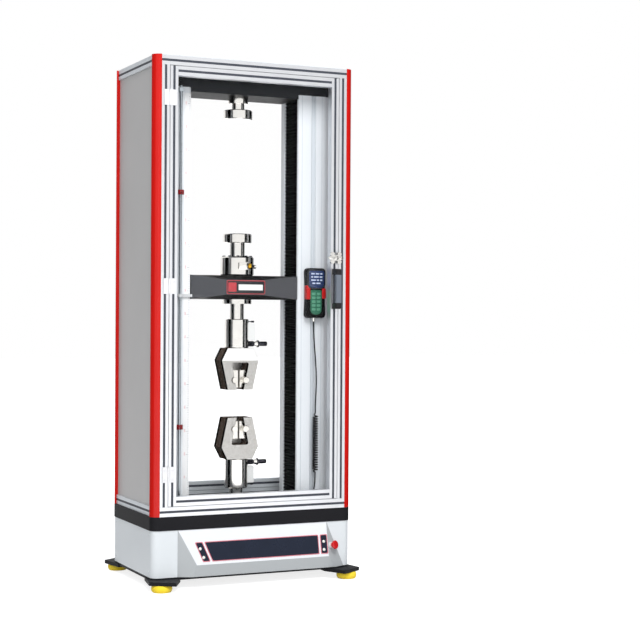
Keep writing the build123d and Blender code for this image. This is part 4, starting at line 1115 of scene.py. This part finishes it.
# scale strip on the left column
scaleStrip = {
    "across": (-284, -254),
    "heights": (330, 2095),
    "front": -149.0,
    "tape": (0.5, 0.3),  # proud of the column, sunk in it
    "tapeCorner": (2, 0.2),  # radius, ease
    "mark": (0.65, 0.3),  # front and back of a mark, before the column
    "shortMark": (0, 6, 0.7),  # from and to, from the edge, and half its height
    "longMark": (5.9, 11, 0.8),  # carries a short mark on
    "firstMark": 350,
    "lastGap": 15,  # least room above the last mark
    "edgeGap": 2,
    "every": 10,
    "numberEvery": 100,
    "numberSize": 9,
    "number": (20, 0.55, 10),  # in from the edge, before the column, above its mark
    "numberThick": 0.12,
}
scaleTape = moulded("scaleTape", "#f2f3f3", "#e9eaeb", 0.4, sparkMm=3, peel=0.03)  # white, soft sheen
scaleInk = moulded("scaleInk", "#8a8f97", "#7c8189", 0.5, peel=0.02)  # grey lines, no shine
numberInk = moulded("numberInk", "#dba0a3", "#d19296", 0.5, peel=0.02)  # red thinned to pink
front = scaleStrip["front"]
(left, right), (low, high) = scaleStrip["across"], scaleStrip["heights"]
proud, sunk = scaleStrip["tape"]
corners = (left, front - proud, low), (right, front + sunk, high)
tape = roundedBlock("scaleTape", *corners, 1, *scaleStrip["tapeCorner"], steps=3)
dress(tape, "frame", scaleTape)


def markCount(every):
    return int((high - scaleStrip["lastGap"] - scaleStrip["firstMark"]) / every) + 1


def markRow(every, start, end, half):
    edge, height = right - scaleStrip["edgeGap"], scaleStrip["firstMark"]
    near, far = (front - v for v in scaleStrip["mark"])
    mark = startBox("marks", (edge - end, near, height - half), (edge - start, far, height + half))
    repeatUp(mark, markCount(every), every)
    return mark


marks = [
    markRow(scaleStrip["every"], *scaleStrip["shortMark"]),
    markRow(scaleStrip["numberEvery"], *scaleStrip["longMark"]),
]
dress(joined("scaleMarks", marks), "frame", scaleInk)
numbers = []
inset, proud, rise = scaleStrip["number"]
for step in range(markCount(scaleStrip["numberEvery"])):
    value = step * scaleStrip["numberEvery"]
    deselect()
    bpy.ops.object.text_add()
    text = bpy.context.object
    text.data.body = str(value)
    text.data.size = scaleStrip["numberSize"] / 1000
    text.data.align_x = "RIGHT"
    text.data.align_y = "CENTER"
    text.data.extrude = scaleStrip["numberThick"] / 1000
    bpy.ops.object.convert(target="MESH")
    text.rotation_euler = (math.pi / 2, -math.pi / 2, 0)
    text.location = Vector((right - inset, front - proud, scaleStrip["firstMark"] + value + rise)) / 1000
    applyPlace()
    numbers.append(text)
dress(joined("scaleNumbers", numbers), "frame", numberInk)
print("scale strip printed")

# screws of the hinges and the cabinet
screwHead = ((0, 0.9), (2.0, 0.9), (2.3, 2.4), (3.3, 2.4), (4.0, 1.7), (4.2, 0), (0, -0.5))


def screwsAt(name, body, places, axis, material, scale=1.0):
    profile = [(r * scale, h * scale) for r, h in screwHead]
    first = turned("screw", places[0], axis, profile, steps=18)
    return dress(joined(name, copies(first, stepsFrom(places))), body, material)


hingeScrews = {
    "heights": (481, 1267, 2053),
    "reach": 20,
    "front": -277.2,
    "rows": (("hingeFrameScrews", "frame", -409), ("hingeDoorScrews", "door", -373)),
}
heights = [z + side * hingeScrews["reach"] for z in hingeScrews["heights"] for side in (-1, 1)]
for name, body, across in hingeScrews["rows"]:
    places = [(across, hingeScrews["front"], z) for z in heights]
    screwsAt(name, body, places, (0, -1, 0), finishes["hinge_white"])
cabinetScrews = {"side": 458, "depths": (-225, 225), "heights": (72, 228), "scale": 0.9}
for name, side in (("cabinetScrewsLeft", -1), ("cabinetScrewsRight", 1)):
    across, scale = side * cabinetScrews["side"], cabinetScrews["scale"]
    places = [(across, y, z) for y in cabinetScrews["depths"] for z in cabinetScrews["heights"]]
    screwsAt(name, "frame", places, (side, 0, 0), finishes["grey_paint"], scale)
print("screws set")

# back of the cabinet: service cover with louvres, mains inlet and data socket
rearCover = {
    "back": 269,
    "sunk": 0.5,
    "plate": ((-310, 72), (310, 228)),
    "plateProud": 2,
    "plateCorner": (8, 0.5),  # radius, ease
    "louvre": (90, 8, 5),  # length, height and reach of one hood
    "louvreSunk": 0.3,
    "louvreLean": 4.2,
    "louvreWall": 0.8,
    "louvreHollow": 3,
    "louvreEase": 0.3,
    "louvreColumns": (-190, 190),
    "louvreRows": (108, 122, 136, 150, 164, 178, 192),
    "inlet": ((345, 96), (397, 146)),
    "inletProud": 4,
    "inletRim": 5,
    "inletDepth": 3,
    "inletEase": 0.8,
    "socketFoot": (371, 269, 190),
    "socket": (
        (0, -1), (15, -1), (15, 2), (13, 3), (11, 3), (11, 9), (9.5, 9.5), (8, 9.5), (8, 4), (0, 4),
    ),
    "screws": [(x, 271, z) for x in (-298, 0, 298) for z in (82, 218)],
    "screwScale": 0.9,
}
greyPaint = finishes["grey_paint"]
plateBack = rearCover["back"] - rearCover["sunk"]
plateFace = rearCover["back"] + rearCover["plateProud"]
(left, low), (right, high) = rearCover["plate"]
corners = (left, plateBack, low), (right, plateFace, high)
dress(roundedBlock("rearCover", *corners, 1, *rearCover["plateCorner"]), "frame", greyPaint)


def makeHood(across, height):
    long, tall, reach = rearCover["louvre"]
    near, far = plateFace - rearCover["louvreSunk"], plateFace + reach
    corners = (across - long / 2, near, height - tall / 2), (across + long / 2, far, height + tall / 2)
    hood = startBox("louvre", *corners)
    editing(True)
    choose("VERT", lambda vert, middle: middle.y > plateFace and middle.z > height)
    bpy.ops.transform.translate(value=(0, -rearCover["louvreLean"] / 1000, 0))
    choose("FACE", lambda face, middle: face.normal.z < -0.9)
    bpy.ops.mesh.inset(thickness=rearCover["louvreWall"] / 1000, depth=0)
    extrude((0, 0, rearCover["louvreHollow"] / 1000))
    editing(False)
    easeEdges(hood, rearCover["louvreEase"], 1)
    return hood


places = [(x, 0, z) for x in rearCover["louvreColumns"] for z in rearCover["louvreRows"]]
hoods = copies(makeHood(places[0][0], places[0][2]), stepsFrom(places))
dress(joined("rearLouvres", hoods), "frame", greyPaint)
(left, low), (right, high) = rearCover["inlet"]
inletFace = rearCover["back"] + rearCover["inletProud"]
inlet = startBox("mainsInlet", (left, plateBack, low), (right, inletFace, high))
editing(True)
choose("FACE", lambda face, middle: face.normal.y > 0.9)
bpy.ops.mesh.inset(thickness=rearCover["inletRim"] / 1000, depth=0)
extrude((0, -rearCover["inletDepth"] / 1000, 0))
editing(False)
easeEdges(inlet, rearCover["inletEase"])
dress(inlet, "frame", finishes["black_plastic"])
socket = turned("dataSocket", rearCover["socketFoot"], (0, 1, 0), rearCover["socket"])
dress(socket, "frame", finishes["cast_zinc"])
screwsAt("rearCoverScrews", "frame", rearCover["screws"], (0, 1, 0), greyPaint, rearCover["screwScale"])
print("cabinet back dressed")

# load cell: connector with its brass nut and plug, and a ring of cap screws
brass = machined("turnedBrass", "#e8b93f", "#d3a02c", 0.25, 1.2, 60, "YZ")  # warm yellow with fine rings
cellConnector = {
    "box": ((-24, -141, 1346), (20, -122, 1378)),
    "boxCorner": (4, 0.8),  # radius, ease
    "nutFoot": (20, -132, 1362),
    "nut": ((0, 0), (9, 0), (9, 2), (12, 2.5), (12.5, 4), (12.5, 12), (12, 13.5), (8, 14), (0, 14)),
    "plug": ((0, 14), (7.5, 14), (8, 15), (8, 22), (5, 24), (5, 30), (0, 30)),
}
box = roundedBlock("cellConnector", *cellConnector["box"], 1, *cellConnector["boxCorner"])
dress(box, "crosshead", finishes["polished_steel"])
nut = turned("cellConnectorNut", cellConnector["nutFoot"], (1, 0, 0), cellConnector["nut"])
dress(nut, "crosshead", brass)
plug = turned("cellConnectorPlug", cellConnector["nutFoot"], (1, 0, 0), cellConnector["plug"])
dress(plug, "crosshead", finishes["black_plastic"])
cellScrews = {"middle": (0, -56, 1404), "circle": 61, "count": 10, "scale": 1.7}
places = []
for step in range(cellScrews["count"]):
    turn = math.tau * (step + 0.5) / cellScrews["count"]
    ahead = Vector((math.sin(turn), -math.cos(turn), 0))
    places.append(Vector(cellScrews["middle"]) + ahead * cellScrews["circle"])
screwsAt("cellScrews", "crosshead", places, (0, 0, 1), finishes["dark_steel"], cellScrews["scale"])
print("load cell dressed")

# pins across the grip stems, then arms and boss of the latch
gripPin = {
    "profile": ((0, 0), (2.2, 0), (2.2, 20), (3.8, 20.3), (4.2, 21.5), (4.2, 32), (3.6, 33), (0, 33)),
    "feet": {"crosshead": (49, -56, 1119), "frame": (49, -56, 401)},
}
for body, foot in gripPin["feet"].items():
    pin = turned(f"{body}GripPin", foot, (1, 0, 0), gripPin["profile"], steps=20)
    dress(pin, body, finishes["dark_steel"])
latchTrim = {
    "axis": (372.5, 1400),
    "front": -289.6,
    "back": -279,
    "arm": (8, 35),  # from and to, from the axis
    "armHalf": 8,
    "armCorner": (7.5, 1.6),  # radius, ease
    "boss": (
        (0, -2), (10.5, -2), (10.5, 1), (9, 3), (7, 3.4), (6, 2.2), (4.6, 2.2), (4, 4.2), (2.2, 5.4),
        (0, 5.6),
    ),
}
across, height = latchTrim["axis"]
half = latchTrim["armHalf"]
arms = []
for side in (-1, 1):
    left, right = sorted(across + side * reach for reach in latchTrim["arm"])
    corners = (left, latchTrim["front"], height - half), (right, latchTrim["back"], height + half)
    arms.append(roundedBlock("arm", *corners, 1, *latchTrim["armCorner"]))
arms.append(turned("boss", (across, latchTrim["front"], height), (0, -1, 0), latchTrim["boss"]))
dress(joined("latchArms", arms), "latch", finishes["cast_zinc"])
print("small fittings set")

# floor, backdrop and light
studio = {
    "aim": (0, 0, 1.1),
    "lamps": (
        ("keyLamp", (-0.7, -4.8, 5.6), 3.0, 310),
        ("fillLamp", (-2.6, -6.4, 1.8), 3.0, 120),
        ("backLamp", (1.0, 5.0, 3.6), 3.0, 120),
    ),
    "ambient": 0.58,
    "ambientTone": "#f4f6fa",
    "floorTone": "#c9c9c9",
    "floorSize": 60,
    "floorGlow": 0.80,
    "glowFades": (1.2, 4.5),  # metres from the middle, past which the floor is plain white
    "drapes": ((-142, -68), (40, 148)),  # degrees right of the front, dark cloth seen only in gloss
    "drapeReach": (1.0, 9.0),
    "drapeHeight": 9.0,
    "drapeFolds": 8,
    "clearance": (0.0005, 0.002),  # the floor under the part, the drapes above it
}
white = (1, 1, 1, 1)


# 1 for what the camera sees straight, in gloss or through glass
def seenByCamera(tree):
    path = addNode(tree, "LightPath", {}).outputs
    direct = {0: path["Is Camera Ray"], 1: path["Is Glossy Ray"]}
    seen = addNode(tree, "Math", direct, operation="MAXIMUM")
    return addNode(tree, "Math", {0: seen, 1: path["Is Transmission Ray"]}, operation="MAXIMUM")


def makeWorld(spec):
    world = bpy.data.worlds.new("studioWorld")
    bpy.context.scene.world = world
    world.use_nodes = True
    tree = world.node_tree
    ambient = tree.nodes["Background"]
    fillSockets(tree, ambient, {"Color": spec["ambientTone"], "Strength": spec["ambient"]})
    backdrop = addNode(tree, "Background", {"Color": white, "Strength": 1.0})
    both = addNode(tree, "MixShader", {0: seenByCamera(tree), 1: ambient, 2: backdrop})
    fillSockets(tree, tree.nodes["World Output"], {"Surface": both})


# Painted floor, pale and matt: keeps the part's shadow and fades to the white of the backdrop
def layFloor(spec):
    dull = {"Roughness": 0.9, "Specular IOR Level": 0.0, "Emission Color": white}
    material, tree, shader, place = startFinish("paleFloor", {"Base Color": spec["floorTone"], **dull})
    reach = addNode(tree, "VectorMath", {0: place}, operation="LENGTH")
    near, far = spec["glowFades"]
    span = {"From Min": near, "From Max": far, "To Min": spec["floorGlow"], "To Max": 1.0}
    fade = addNode(tree, "MapRange", {"Value": reach, **span})
    glow = addNode(tree, "Math", {0: seenByCamera(tree), 1: fade}, operation="MULTIPLY")
    fillSockets(tree, shader, {"Emission Strength": glow})
    deselect()
    bpy.ops.mesh.primitive_plane_add(size=spec["floorSize"], location=(0, 0, -spec["clearance"][0]))
    floor = settle("studioFloor")
    floor.data.materials.append(material)


def hangLamps(spec):
    for name, spot, size, watts in spec["lamps"]:
        bpy.ops.object.light_add(type="AREA", location=spot)
        lamp = bpy.context.object
        lamp.name = name
        lamp.data.size = size
        lamp.data.energy = watts
        lamp.rotation_euler = (Vector(spec["aim"]) - Vector(spot)).to_track_quat("-Z", "Y").to_euler()
        lamp.visible_camera = lamp.visible_glossy = lamp.visible_transmission = False


# Dark studio drapes either side, seen only in gloss: they give metal its dark bands
def hangDrapes(spec):
    cloth = moulded("drapeCloth", "#141415", "#0e0e0f", 0.9, sparkMm=9, shine=0.0)
    near, far = spec["drapeReach"]
    foot, rise = Vector((0, 0, spec["clearance"][1])), Vector((0, 0, spec["drapeHeight"]))
    for number, (start, end) in enumerate(spec["drapes"]):
        turn = math.radians(start)
        ahead = Vector((math.sin(turn), -math.cos(turn), 0))
        startLine([foot + ahead * near, foot + ahead * far, foot + ahead * far + rise])
        sweep = math.radians(end - start)
        bpy.ops.mesh.spin(steps=spec["drapeFolds"], angle=sweep, center=(0, 0, 0), axis=(0, 0, -1))
        editing(False)
        drape = settle(f"studioDrape{number}")
        drape.data.materials.append(cloth)
        drape.visible_camera = drape.visible_diffuse = drape.visible_transmission = False
        drape.visible_shadow = drape.visible_volume_scatter = False


bpy.context.scene.view_settings.view_transform = "Standard"
makeWorld(studio)
layFloor(studio)
hangLamps(studio)
hangDrapes(studio)
print("stage lit")
